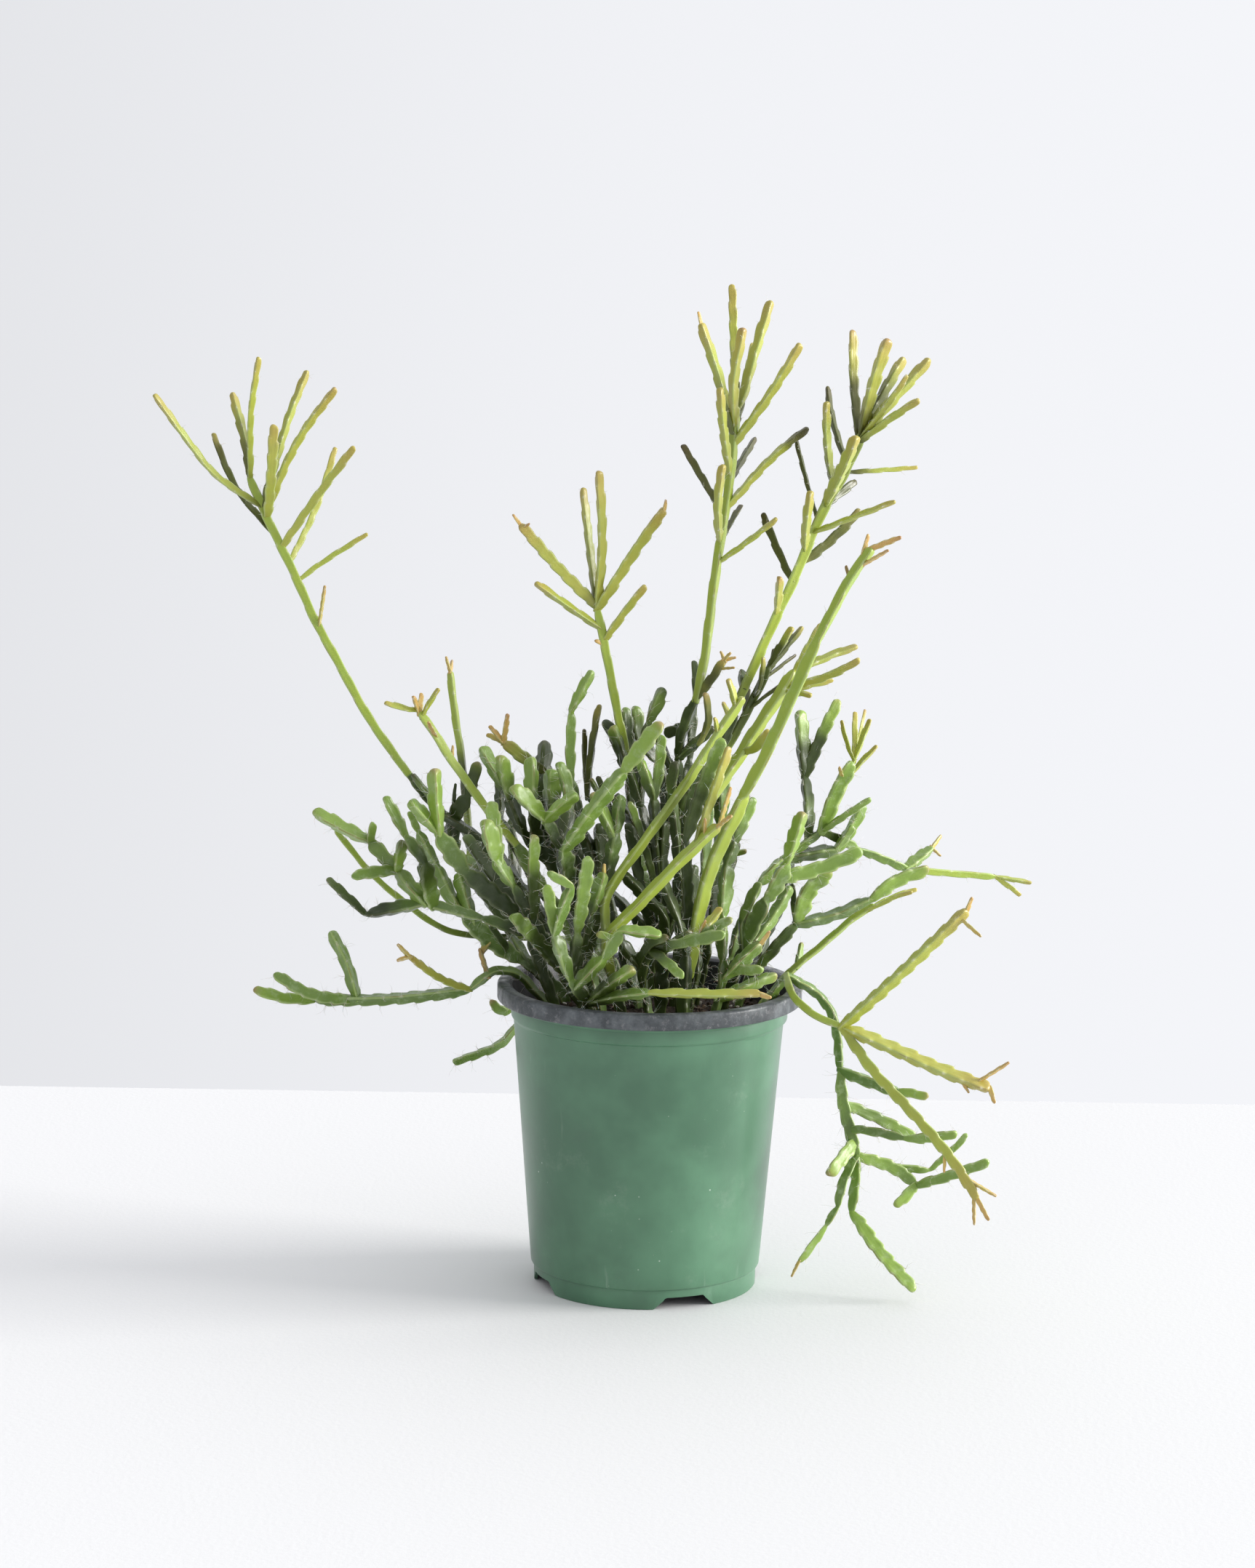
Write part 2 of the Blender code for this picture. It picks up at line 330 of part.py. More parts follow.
        ("w", "v", 1, WAND, 4.4, (37.5, -46, 196), (46.5, -50, 218), (54.5, -53, 238)),
        ("x", "w", 1, WAND, 3.6, (64.5, -55, 258.5), (72, -56, 270)),
        ("2", "x", .78, BUD, 1.8, (70.5, -54, 274.5)), ("3", "x", 1, BUD, 2.1, (81.5, -58, 274)),
        ("4", "x", .78, BUD, 1.5, (77, -62, 270)), ("5", "x", .64, BUD, 1.5, (63.5, -52, 263.5)),
        ("6", "1", 1, OLD, 4.6, (11.5, -30, 165)),
        ("7", "6", 1, OLD, 5.2, (15.5, -30, 179), (23.5, -34, 201.5)),
        ("8", "1", .8, OLD, 3.6, (13, -20, 140)), ("9", "8", 1, OLD, 3.4, (11.5, -18, 149)),
    )),
    "diagonal_wands": ((-9, -27), (
        ("1", None, 1, OLD, 4.1, (-13.5, -31, 117)),
        ("w", "1", 1, WAND, 3.4, (-16.5, -33, 138), (-15, -33, 147.5), (-2.5, -31, 165.5),
         (11, -28, 184.5), (20.5, -26, 199.5), (30.5, -24, 214.5)),
        ("2", "w", .96, YOUNG, 2.8, (25, -26, 221)), ("3", "w", .92, YOUNG, 2.1, (23.5, -20, 212)),
        ("4", "w", .86, YOUNG, 1.8, (20.5, -30, 208)),
        ("v", "1", .9, WAND, 4.1, (-16.5, -39, 129.5), (-12, -42, 136.5), (-2.5, -44, 147),
         (7.5, -46, 158.5), (18, -48, 169.5), (22.5, -48, 173.5)),
        ("5", "v", 1, BUD, 1.8, (26, -52, 187.5)), ("6", "v", .97, BUD, 1.8, (26.5, -54, 178)),
        ("7", "v", .91, BUD, 1.5, (17.5, -48, 176)),
        ("8", "v", .85, YOUNG, 3.4, (20.5, -42, 184.5), (25.5, -40, 199.5)),
    )),
    "front_fan": ((-20, -34), (
        ("1", None, 1, OLD, 3.6, (-21.5, -40, 108.5)), ("2", "1", 1, OLD, 4.6, (-27.5, -48, 118.5)),
        ("3", "2", 1, OLD, 5.2, (-33, -50, 134.5)), ("4", "3", 1, OLD, 4.4, (-36, -50, 152)),
        ("5", "3", 1, OLD, 4.4, (-27.5, -56, 152.5)), ("6", "5", 1, OLD, 3.6, (-35.5, -60, 158)),
        ("7", "1", .97, OLD, 4.4, (-26.5, -40, 118.5)), ("8", "7", 1, OLD, 4.6, (-25.5, -42, 134)),
        ("9", "8", 1, OLD, 5.2, (-22, -44, 161)), ("10", "7", 1, OLD, 4.6, (-21, -36, 139)),
        ("11", "10", 1, OLD, 5.2, (-16.5, -36, 154)), ("12", "1", 1, OLD, 5.2, (-6, -56, 124.5)),
        ("13", "1", 1, OLD, 4.4, (-0.5, -58, 116.5)),
        ("14", "13", 1, YOUNG, 3.6, (18, -62, 117), (37.5, -62, 117.5)),
        ("15", "14", 1, BUD, 2.1, (41, -63, 116.5)), ("16", "2", .7, OLD, 5.7, (-16, -52, 127)),
        ("17", "16", 1, OLD, 4.6, (-10.5, -56, 137.5)), ("18", "11", 1, BUD, 1.5, (-16.5, -36, 157)),
        ("19", "17", 1, OLD, 4.6, (3.5, -58, 136.5)),
    )),
    "front_low": ((1, -36), (
        ("1", None, 1, OLD, 3.1, (-3.5, -38, 121.5)), ("2", "1", 1, OLD, 4.6, (-10.5, -42, 132)),
        ("3", "2", 1, OLD, 3.4, (-19, -44, 135)), ("4", "1", 1, OLD, 3.6, (-2.5, -46, 132), (6, -50, 135)),
        ("5", "4", .5, OLD, 4.1, (8.5, -58, 124)),
        ("6", "1", .7, OLD, 3.9, (-1, -42, 127), (16.5, -52, 135.5), (27.5, -56, 143)),
        ("7", "6", .45, OLD, 4.1, (14, -46, 136.5)), ("8", "6", .6, OLD, 4.6, (25, -60, 138.5)),
        ("9", "6", .7, YOUNG, 3.6, (24, -46, 144.5)), ("10", "6", .7, BUD, 1.5, (18.5, -56, 142)),
    )),
    "right_upright": ((12, -34), (
        ("1", None, 1, OLD, 5.2, (12.5, -34, 125.5)), ("2", "1", 1, OLD, 4.6, (9.5, -36, 138)),
        ("3", "2", 1, OLD, 4.4, (3.5, -34, 152.5)),
    )),
    "right_small": ((22, -33), (
        ("1", None, 1, OLD, 3.4, (25, -34, 116.5)), ("2", "1", 1, OLD, 5.2, (38, -38, 131)),
        ("3", "2", .3, OLD, 4.4, (39, -40, 122)), ("4", "1", .9, OLD, 3.9, (25, -36, 124)),
        ("5", "2", 1, BUD, 1.8, (41, -39, 135.5)),
        ("6", "1", .6, OLD, 4.6, (36, -36, 116.5), (44, -34, 119)),
        ("7", "4", 1, OLD, 4.6, (25, -31, 138.5)), ("8", "7", 1, OLD, 5.9, (26, -30, 157)),
        ("9", "8", 1, OLD, 5.2, (28.5, -28, 164)),
        ("10", "9", 1, OLD, 4.1, (32, -25, 172.5), (35, -24, 179.5)),
    )),
    "right_front": ((25, -15), (
        ("1", None, 1, OLD, 5.2, (32.5, -20, 125)), ("2", "1", 1, OLD, 6.2, (40, -26, 143.5)),
        ("3", "2", 1, OLD, 6.2, (46.5, -32, 158)), ("4", "3", 1, OLD, 5.2, (51.5, -38, 177)),
        ("5", "1", .8, OLD, 4.9, (43.5, -10, 135.5), (49, -8, 145.5)),
        ("6", "3", .6, OLD, 5.2, (60, -26, 156), (73, -24, 161.5)),
        ("7", "1", 1, OLD, 4.4, (32, -22, 135.5)), ("8", "7", 1, OLD, 4.4, (38, -18, 148.5)),
    )),
    "right_crown": ((25, 3), (
        ("1", None, 1, OLD, 4.6, (29, 5, 117)), ("2", "1", 1, OLD, 4.6, (32.5, 6, 131)),
        ("3", "2", 1, OLD, 4.1, (38.5, 8, 143)), ("4", "3", 1, OLD, 5.2, (47.5, 10, 152)),
        ("5", "4", 1, OLD, 3.6, (60, 12, 161.5)), ("6", "5", 1, OLD, 5.4, (65, 10, 177), (70.5, 8, 187.5)),
        ("7", "5", 1, WAND, 2.3, (66.5, 20, 170.5), (72, 24, 185.5)),
        ("8", "7", 1, YOUNG, 1.8, (69, 22, 192.5), (67, 20, 200.5)),
        ("9", "7", 1, YOUNG, 2.3, (72, 26, 195), (72, 28, 202.5)),
        ("10", "7", .97, YOUNG, 1.5, (76, 34, 202.5)), ("11", "7", .98, YOUNG, 2.3, (77.5, 24, 200.5)),
        ("12", "7", .78, YOUNG, 2.1, (80, 20, 191.5)), ("13", "6", .75, BUD, 1.5, (65.5, 2, 186.5)),
        ("14", "5", 1, OLD, 2.6, (69.5, 4, 170), (77, 2, 175.5)),
        ("15", "4", .97, OLD, 5.2, (66.5, 16, 154.5)), ("16", "15", 1, OLD, 4.4, (75.5, 16, 171)),
        ("17", "15", .95, OLD, 3.6, (71, 8, 164.5)), ("18", "5", .63, OLD, 4.4, (54.5, 26, 179)),
        ("19", "18", 1, OLD, 5.4, (52.5, 30, 202.5)), ("20", "18", 1, OLD, 4.4, (66.5, 34, 206)),
        ("p1", "5", 1, OLD, 3.4, (74, 26, 153)),
        ("p2", "p1", 1, OLD, 3.4, (83.5, 32, 149), (92.5, 38, 144)),
        ("p3", "p2", 1, WAND, 2.6, (109, 46, 141), (117, 50, 140), (126.5, 54, 138.5)),
        ("p4", "p3", 1, YOUNG, 2.1, (140, 56, 136)), ("p5", "p3", 1, YOUNG, 2.1, (136.5, 60, 130.5)),
        ("p6", "p2", 1, OLD, 4.6, (102.5, 48, 150)), ("p7", "p6", 1, BUD, 1.8, (106, 52, 154)),
        ("p8", "p6", 1, BUD, 1.3, (106, 50, 146.5)),
    )),
    "right_reach": ((33, 11), (
        ("1", None, 1, OLD, 4.6, (38.5, 12, 111.5)), ("2", "1", 1, OLD, 4.6, (46, 12, 122), (52, 12, 128)),
        ("3", "2", 1, OLD, 2.8, (50.5, 18, 141.5)),
        ("4", "2", 1, OLD, 6.7, (56, 10, 142), (64, 8, 148.5)),
        ("5", "2", 1, OLD, 4.9, (64.5, 14, 130.5), (78.5, 16, 136.5)),
        ("6", "5", 1, OLD, 5.2, (87, 18, 143.5), (99.5, 20, 147.5)),
        ("7", "1", .7, OLD, 4.1, (42, 20, 121.5)), ("8", "7", 1, OLD, 4.1, (49.5, 28, 140)),
        ("9", "8", 1, OLD, 3.6, (51, 30, 158)),
    )),
    "olive_wand": ((40, 1), (
        ("w", None, 1, WAND, 2.6, (49, 0, 112), (62.5, -2, 124.5), (71.5, -4, 133.5), (79, -5, 138.5)),
        ("1", "w", .95, YOUNG, 2.1, (86.5, -2, 142), (94, 0, 143.5)),
        ("2", "w", .9, YOUNG, 1.8, (85.5, -10, 143), (91.5, -12, 145)),
        ("3", "w", .35, OLD, 2.6, (54, 6, 122.5)),
    )),
    "trailing": ((38, -14), (
        ("1", None, 1, OLD, 3.6, (47, -13, 113.5)),
        ("T1", "1", 1, WAND, 2.8, (48.5, -30, 110), (53.5, -38, 106.5), (58.5, -42, 104), (65, -44, 102.5)),
        ("U1", "T1", 1, YOUNG, 4.6, (76.5, -50, 115), (91, -54, 130.5), (106, -56, 146.5)),
        ("u1", "U1", 1, BUD, 1.8, (107.5, -57, 151)), ("u2", "U1", .94, BUD, 1.5, (111, -58, 137.5)),
        ("U2", "T1", 1, YOUNG, 5.2, (80, -48, 97), (91.5, -52, 92.5), (106, -56, 87.5), (115.5, -58, 84.5)),
        ("u3", "U2", .9, BUD, 1.5, (121.5, -60, 94.5)), ("u4", "U2", 1, BUD, 1.8, (117, -60, 80)),
        ("u5", "U2", .8, BUD, 1.3, (108.5, -56, 82.5)),
        ("U3", "T1", 1, YOUNG, 3.9, (74.5, -46, 89.5), (81, -48, 83), (90.5, -50, 73), (100, -52, 63),
         (108, -54, 52.5), (112.5, -55, 45)),
        ("u6", "U3", .88, BUD, 1.5, (119, -58, 47)), ("u7", "U3", 1, BUD, 1.8, (116.5, -57, 38)),
        ("u8", "U3", .97, BUD, 1.5, (112, -52, 35)), ("u9", "U3", .73, BUD, 1.3, (101, -54, 54)),
        ("T2", "1", 1, OLD, 3.6, (56.5, -9, 108), (61.5, -8, 102.5), (65, -8, 96.5), (66, -8, 90),
         (67, -8, 79)),
        ("2", "T2", 1, OLD, 4.4, (67.5, -9, 69.5), (70.5, -9, 58), (73.5, -10, 48)),
        ("3", "T2", 1, OLD, 4.4, (77.5, -14, 76), (87, -18, 74)),
        ("4", "3", 1, OLD, 3.6, (97.5, -20, 72.5)),
        ("5", "2", .39, OLD, 4.4, (78.5, -4, 61.5), (94.5, 0, 52.5)),
        ("6", "2", .68, OLD, 3.6, (79.5, -14, 58.5), (89.5, -18, 57)),
        ("7", "6", 1, OLD, 4.1, (98.5, -22, 58.5), (107.5, -24, 60.5)),
        ("8", "2", .84, OLD, 5.2, (67, -18, 49), (62.5, -22, 44)),
        ("9", "2", 1, OLD, 4.6, (87, -6, 43), (94.5, -6, 37)), ("10", "9", .5, OLD, 3.4, (99.5, -2, 41.5)),
        ("11", "10", 1, OLD, 2.8, (108, 0, 48), (113, 0, 54.5)),
        ("12", "9", 1, OLD, 4.1, (106, -12, 42), (120, -14, 48)), ("13", "9", 1, OLD, 4.1, (87, -10, 30)),
        ("14", "2", 1, OLD, 3.6, (68, -16, 41), (66.5, -20, 32)),
        ("15", "14", 1, OLD, 2.6, (62.5, -22, 26)), ("16", "15", 1, OLD, 3.1, (53, -26, 13.5)),
        ("17", "16", 1, BUD, 1.3, (50.5, -24, 7.5)),
        ("18", "2", 1, OLD, 4.1, (73.5, -10, 38.5), (72, -12, 28.5)),
        ("19", "18", 1, OLD, 5.2, (80.5, -20, 17), (94, -26, 3.5)),
    )),
    "back_trail": ((-22, 36), (
        ("1", None, 1, OLD, 3.6, (-27, 42, 110.5), (-32, 50, 113.5), (-37, 57, 110.5)),
        ("2", "1", 1, OLD, 3.9, (-52, 52, 85.5), (-57.5, 46, 91)),
        ("3", "1", 1, OLD, 3.9, (-39, 60, 96.5), (-41, 60, 88.5)),
        ("4", "3", 1, OLD, 3.6, (-53.5, 50, 74), (-62.5, 44, 71.5), (-71, 40, 69)),
        ("5", "3", 1, OLD, 3.9, (-33, 64, 74.5)),
    )),
}


def smooth_route(points):
    """Evenly spaced points along a smooth curve through the given ones."""
    p = np.array(points, float)
    p = np.vstack([2 * p[0] - p[1], p, 2 * p[-1] - p[-2]])
    curve = [p[1]]
    for a, b, c, d in zip(p, p[1:], p[2:], p[3:]):
        for t in np.linspace(0, 1, CURVE_STEPS + 1)[1:]:
            curve.append((2 * b + (c - a) * t + (2 * a - 5 * b + 4 * c - d) * t**2
                          + (3 * b - a - 3 * c + d) * t**3) / 2)
    curve = np.array(curve)
    reach = np.r_[0, np.cumsum(np.linalg.norm(np.diff(curve, axis=0), axis=1))]
    count = max(3, round(reach[-1] / ROUTE_SPACING))
    along = np.linspace(0, reach[-1], count + 1)
    return np.column_stack([np.interp(along, reach, curve[:, k]) for k in range(3)])


def ease(t):
    """A smooth step from 0 to 1."""
    t = np.clip(t, 0, 1)
    return t * t * (3 - 2 * t)


class Segment:
    """One joint of a stem: a centre line with a width, growing from another segment or from the soil.

    lean is how far each point has bent away from the line as drawn, and now is where the points then lie. The
    solid is straight from ring to ring, so chords moves the points onto those straights.
    """

    def __init__(self, stem, number, row, parent, root):
        self.key, _, self.at, self.kind, self.width, *points = row
        self.stem, self.number, self.parent = stem, number, parent
        base = parent.point(self.at) if parent else np.array([*root, PEG_TOP])
        if parent and len(points) == 1:
            way = np.array(points[0]) - base
            lead = parent.heading(self.at) * np.linalg.norm(way) * LEAVING
            points = [base + way / 2 + lead, points[0]]
        self.line = smooth_route([base, *points])
        self.t = np.linspace(0, 1, len(self.line))
        self.lean = np.zeros_like(self.line)
        self.length = float(np.linalg.norm(np.diff(self.line, axis=0), axis=1).sum())
        rings = self.stations()
        to_rings = np.column_stack([np.interp(rings, self.t, unit) for unit in np.eye(len(self.t))])
        from_rings = np.column_stack([np.interp(self.t, rings, unit) for unit in np.eye(len(rings))])
        self.chords = from_rings @ to_rings

    def stations(self):
        """Where the segment has its rings, from its joint to its tip."""
        if self.kind == BUD:
            return np.array([0, 1.0])
        bands = max(FEWEST_BANDS, round(self.length / SHAPES[self.kind].band))
        first = min(LONGEST_JOINT, JOINT_TAPER / self.length)
        last = 1 - min(LONGEST_TIP, TIP_TAPER / self.length)
        return np.r_[0, np.linspace(first, last, bands - 1), 1]

    def point(self, at):
        """The point at a share of the length."""
        return np.array([np.interp(at, self.t, self.line[:, k]) for k in range(3)])

    def heading(self, at):
        """Which way the segment runs near a share of its length."""
        way = self.point(min(1, at + 0.1)) - self.point(at - 0.2)
        return way / np.linalg.norm(way)

    def girth(self, t):
        """Width along the segment as a share of its full width, before the notches."""
        shape = SHAPES[self.kind]
        rise = shape.waist + (1 - shape.waist) * ease(t * self.length / JOINT_TAPER)
        return rise * (1 - (1 - shape.tip) * (1 - ease((1 - t) * self.length / TIP_TAPER)))


def grow():
    """All segments, parents before their children, each starting on its parent's centre line."""
    segments = []
    for stem, (root, rows) in STEMS.items():
        named = {}
        for row in rows:
            named[row[0]] = Segment(stem, len(segments), row, named.get(row[1]), root)
            segments.append(named[row[0]])
    return segments


def place(segments):
    """Carry every segment with the point of its parent that it grows from."""
    for s in segments:
        s.now = s.chords @ (s.line + s.lean)
        if s.parent:
            p = s.parent
            moved = p.now - p.line
            s.now = s.now + [np.interp(s.at, p.t, moved[:, k]) for k in range(3)]
    return np.vstack([s.now for s in segments])


def keep_off_pot(now, radius, rooted):
    """The way that points must move to stay off the lip, the wall, the soil and the surface below."""
    push = np.zeros_like(now)
    out = np.hypot(now[:, 0], now[:, 1])
    side = now[:, :2] / np.maximum(out, 1)[:, None]
    inner = COLLAR_RADIUS - LIP_WALL
    middle, half = np.array([(LIP_RADIUS + inner) / 2, POT_HEIGHT - LIP_DROP / 2]), (LIP_RADIUS - inner) / 2
    apart = np.column_stack([out, now[:, 2]]) - middle
    past = np.maximum(abs(apart) - (half, LIP_DROP / 2), 0)
    distance = np.linalg.norm(past, axis=1)
    lack = np.maximum(0, radius + POT_CLEARANCE - distance)
    way = np.where(distance[:, None] > 0, past * np.sign(apart), apart)
    way /= np.maximum(np.linalg.norm(way, axis=1), 0.1)[:, None]
    push[:, :2] += (lack * way[:, 0])[:, None] * side
    push[:, 2] += lack * way[:, 1]
    low = now[:, 2] < POT_HEIGHT - LIP_DROP
    inside = out < middle[0]
    push[:, :2] -= (np.maximum(0, out + radius - PLANTED_RADIUS) * (low & inside))[:, None] * side
    push[:, :2] += (np.maximum(0, COLLAR_RADIUS + 1 + radius - out) * (low & ~inside))[:, None] * side
    surface = SOIL_TOP + LUMP_HEIGHT + SOIL_GAP
    push[:, 2] += np.maximum(0, surface + radius - now[:, 2]) * (inside & ~rooted)
    push[:, 2] += np.maximum(0, GROUND_CLEARANCE + radius - now[:, 2]) * ~inside
    return push


def spread(segments):
    """Stems that would touch lean apart, mostly to the front and back, until they are clear."""
    counts = [len(s.line) for s in segments]
    starts = np.r_[0, np.cumsum(counts)]
    names = list(STEMS)
    stem = np.repeat([names.index(s.stem) for s in segments], counts)
    radius = np.concatenate([RIDGE_SHARE * s.width * s.girth(s.t) for s in segments])
    rooted = np.concatenate([(s.t < 0.5) & (s.parent is None) for s in segments])
    for step in range(SPREAD_STEPS):
        now = place(segments)
        if step % SEARCH_EVERY == 0:
            square = (now**2).sum(axis=1)
            apart = square[:, None] + square[None, :] - 2 * now @ now.T
            reach = (radius[:, None] + radius[None, :] + SEARCH_REACH)**2
            first, second = np.nonzero((apart < reach) & (stem[:, None] < stem[None, :]))
        gap = now[first] - now[second]
        distance = np.linalg.norm(gap, axis=1)
        lack = radius[first] + radius[second] + CLEARANCE - distance
        hit = lack > 0
        a, b, gap, lack = first[hit], second[hit], gap[hit], lack[hit]
        way = gap * (SIDEWAYS, 1, SIDEWAYS)
        way[:, 1] += np.where(gap[:, 1] < 0, -DEPTHWAYS, DEPTHWAYS)
        way /= np.linalg.norm(way, axis=1)[:, None]
        push, hits = np.zeros_like(now), np.zeros(len(now))
        np.add.at(push, a, way * lack[:, None] / 2)
        np.add.at(push, b, -way * lack[:, None] / 2)
        np.add.at(hits, a, 1)
        np.add.at(hits, b, 1)
        push /= np.maximum(hits, 1)[:, None]
        push += keep_off_pot(now, radius, rooted)
        for s in reversed(segments):
            mine = push[starts[s.number]:starts[s.number + 1]]
            grip = np.minimum(1, s.t / BENDING_SHARE)[:, None]
            s.lean += mine * grip
            left = mine * (1 - grip)
            if s.parent:
                k = starts[s.parent.number] + round(s.at * (len(s.parent.line) - 1))
                push[k] += left[abs(left).sum(axis=1).argmax()]
            s.lean[1:-1] = (s.lean[:-2] + 2 * s.lean[1:-1] + s.lean[2:]) / 4
            s.lean[0] = 0
    place(segments)


def chains(segments):
    """Runs of segments that follow on from tip to tip; every other one branches off a run's side."""
    follower = {}
    for s in segments:
        if s.parent and s.at > FOLLOWS_FROM and s.kind != BUD:
            start = s.now[1] - s.now[0]
            straightness = s.parent.heading(1.0).dot(start) / np.linalg.norm(start)
            best = follower.get(s.parent.number, (STRAIGHT_ENOUGH, None))
            if straightness > best[0]:
                follower[s.parent.number] = (straightness, s)
    following = {s.number for _, s in follower.values()}
    runs = []
    for s in segments:
        if s.number not in following:
            run = [s]
            while run[-1].number in follower:
                run.append(follower[run[-1].number][1])
            runs.append(run)
    return runs


def chain_rings(run):
    """Three-cornered rings along a run, narrow at each joint; each ring has the next ridge notched."""
    centres, sizes = [], []
    for s, after in zip(run, [*run[1:], None]):
        shape = SHAPES[s.kind]
        t = s.stations()
        middle = np.column_stack([np.interp(t, s.t, s.now[:, k]) for k in range(3)])
        full = RIDGE_SHARE * s.width
        for k in range(1 if centres else 0, len(t)):
            size = np.full(3, full)
            if k == 0:
                size *= shape.waist
            elif k < len(t) - 1:
                size[len(centres) % 3] *= 1 - shape.notch
            elif after:
                size[:] = min(full, RIDGE_SHARE * after.width) * SHAPES[after.kind].waist
            else:
                size *= shape.tip
            centres.append(middle[k])
            sizes.append(size)
    centres = np.array(centres)
    if run[0].parent is None:
        foot = centres[0] - (0, 0, PEG_DEPTH)
        sizes[0] = np.full(3, peg_radius(run[0].width))
        centres, sizes = np.vstack([foot, centres]), [sizes[0], *sizes]
    ahead = np.gradient(centres, axis=0)
    ahead /= np.linalg.norm(ahead, axis=1)[:, None]
    if run[0].parent:
        centres[0] -= ahead[0] * SINK
    side = np.cross(ahead[0], FIRST_RIDGE)
    angles = RIDGE_TURN * run[0].number + np.arange(3) * math.tau / 3
    rings = []
    for middle, way, size in zip(centres, ahead, sizes):
        side = side - way * side.dot(way)
        side /= np.linalg.norm(side)
        other = np.cross(way, side)
        rings.append([middle + r * (math.cos(a) * side + math.sin(a) * other)
                      for a, r in zip(angles, size)])
    return rings


def loft(name, rings):
    """A closed body through rings of three points."""
    mesh = bpy.data.meshes.new(name)
    points = [[c * MM for c in p] for ring in rings for p in ring]
    faces = [(0, 2, 1), tuple(len(points) - k for k in (3, 2, 1))]
    for k in range(0, len(points) - 3, 3):
        for a, b in ((0, 1), (1, 2), (2, 0)):
            faces += [(k + a, k + b, k + 3 + b), (k + a, k + 3 + b, k + 3 + a)]
    mesh.from_pydata(points, [], faces)
    return bpy.data.objects.new(name, mesh)


def material(name, colour, roughness):
    """A plain finish with the part's own colour."""
    made = bpy.data.materials.new(name)
    made.use_nodes = True
    shader = made.node_tree.nodes["Principled BSDF"]
    shader.inputs["Base Color"].default_value = (*colour, 1)
    shader.inputs["Roughness"].default_value = roughness
    shader.inputs["Metallic"].default_value = 0
    made.diffuse_color = (*colour, 1)
    return made


def collection(name):
    """A collection under the scene."""
    made = bpy.data.collections.new(name)
    bpy.context.scene.collection.children.link(made)
    return made


def settled(obj):
    """Apply an object's modifiers."""
    graph = bpy.context.evaluated_depsgraph_get()
    graph.update()
    mesh = bpy.data.meshes.new_from_object(obj.evaluated_get(graph))
    obj.modifiers.clear()
    old, obj.data = obj.data, mesh
    bpy.data.meshes.remove(old)
    mesh.name = obj.name


def boolean(obj, operation, operand):
    """Cut an object by a collection of cutters, or join it with one, and apply that."""
    tool = obj.modifiers.new(operation.title(), "BOOLEAN")
    tool.operation = operation
    tool.operand_type = "COLLECTION"
    tool.collection = operand
    tool.solver = "EXACT"
    settled(obj)


def in_collection(obj, target):
    """Move an object into one collection only."""
    for other in list(obj.users_collection):
        other.objects.unlink(obj)
    target.objects.link(obj)


def sound(mesh):
    """Whether a mesh is closed and no face of it is folded over or crosses another."""
    probe = bmesh.new()
    probe.from_mesh(mesh)
    bmesh.ops.triangulate(probe, faces=probe.faces)
    probe.faces.ensure_lookup_table()
    closed = all(len(e.link_faces) == 2 and e.calc_face_angle() < SHARPEST_FOLD for e in probe.edges)
    tree = BVHTree.FromBMesh(probe)
    corners = [set(v.index for v in face.verts) for face in probe.faces]
    clear = all(a == b or corners[a] & corners[b] for a, b in tree.overlap(tree))
    probe.free()
    return closed and clear


def drop_slivers(body):
    """Dissolve the small faces that the union leaves along each joint, as far as the body stays sound."""
    thin = body.modifiers.new("Slivers", "DECIMATE")
    for share in KEPT_SHARES:
        thin.ratio = share
        graph = bpy.context.evaluated_depsgraph_get()
        graph.update()
        mesh = bpy.data.meshes.new_from_object(body.evaluated_get(graph))
        if sound(mesh):
            break
        bpy.data.meshes.remove(mesh)
    settled(body)


def peg_radius(width):
    """Half the thickness of a stem's buried foot."""
    return PEG_SHARE * max(THINNEST_PEG, width)


def build_stem(name, segments, parts, finish):
    """One rooted stem: every run of its segments, fused in one body."""
    body, *branches = [loft(f"stem_{name}", chain_rings(run)) for run in chains(segments)]
    parts.objects.link(body)
    if branches:
        pieces = collection("branches")
        for branch in branches:
            pieces.objects.link(branch)
        boolean(body, "UNION", pieces)
        for branch in branches:
            mesh = branch.data
            bpy.data.objects.remove(branch)
            bpy.data.meshes.remove(mesh)
        bpy.data.collections.remove(pieces)
        drop_slivers(body)
    body.data.materials.clear()
    body.data.materials.append(finish)
    return body


def turned(name, profile, steps, parts):
    """A body turned from a closed outline of (radius, height) points round Z."""
    mesh = bpy.data.meshes.new(name)
    points = [(r * MM, 0, z * MM) for r, z in profile]
    mesh.from_pydata(points, [(k, k + 1) for k in range(len(points) - 1)], [])
    obj = bpy.data.objects.new(name, mesh)
    parts.objects.link(obj)
    screw = obj.modifiers.new("Turn", "SCREW")
    screw.axis = "Z"
    screw.steps = screw.render_steps = steps
    screw.use_merge_vertices = True
    screw.merge_threshold = 0.00001
    screw.use_smooth_shade = False
    return obj


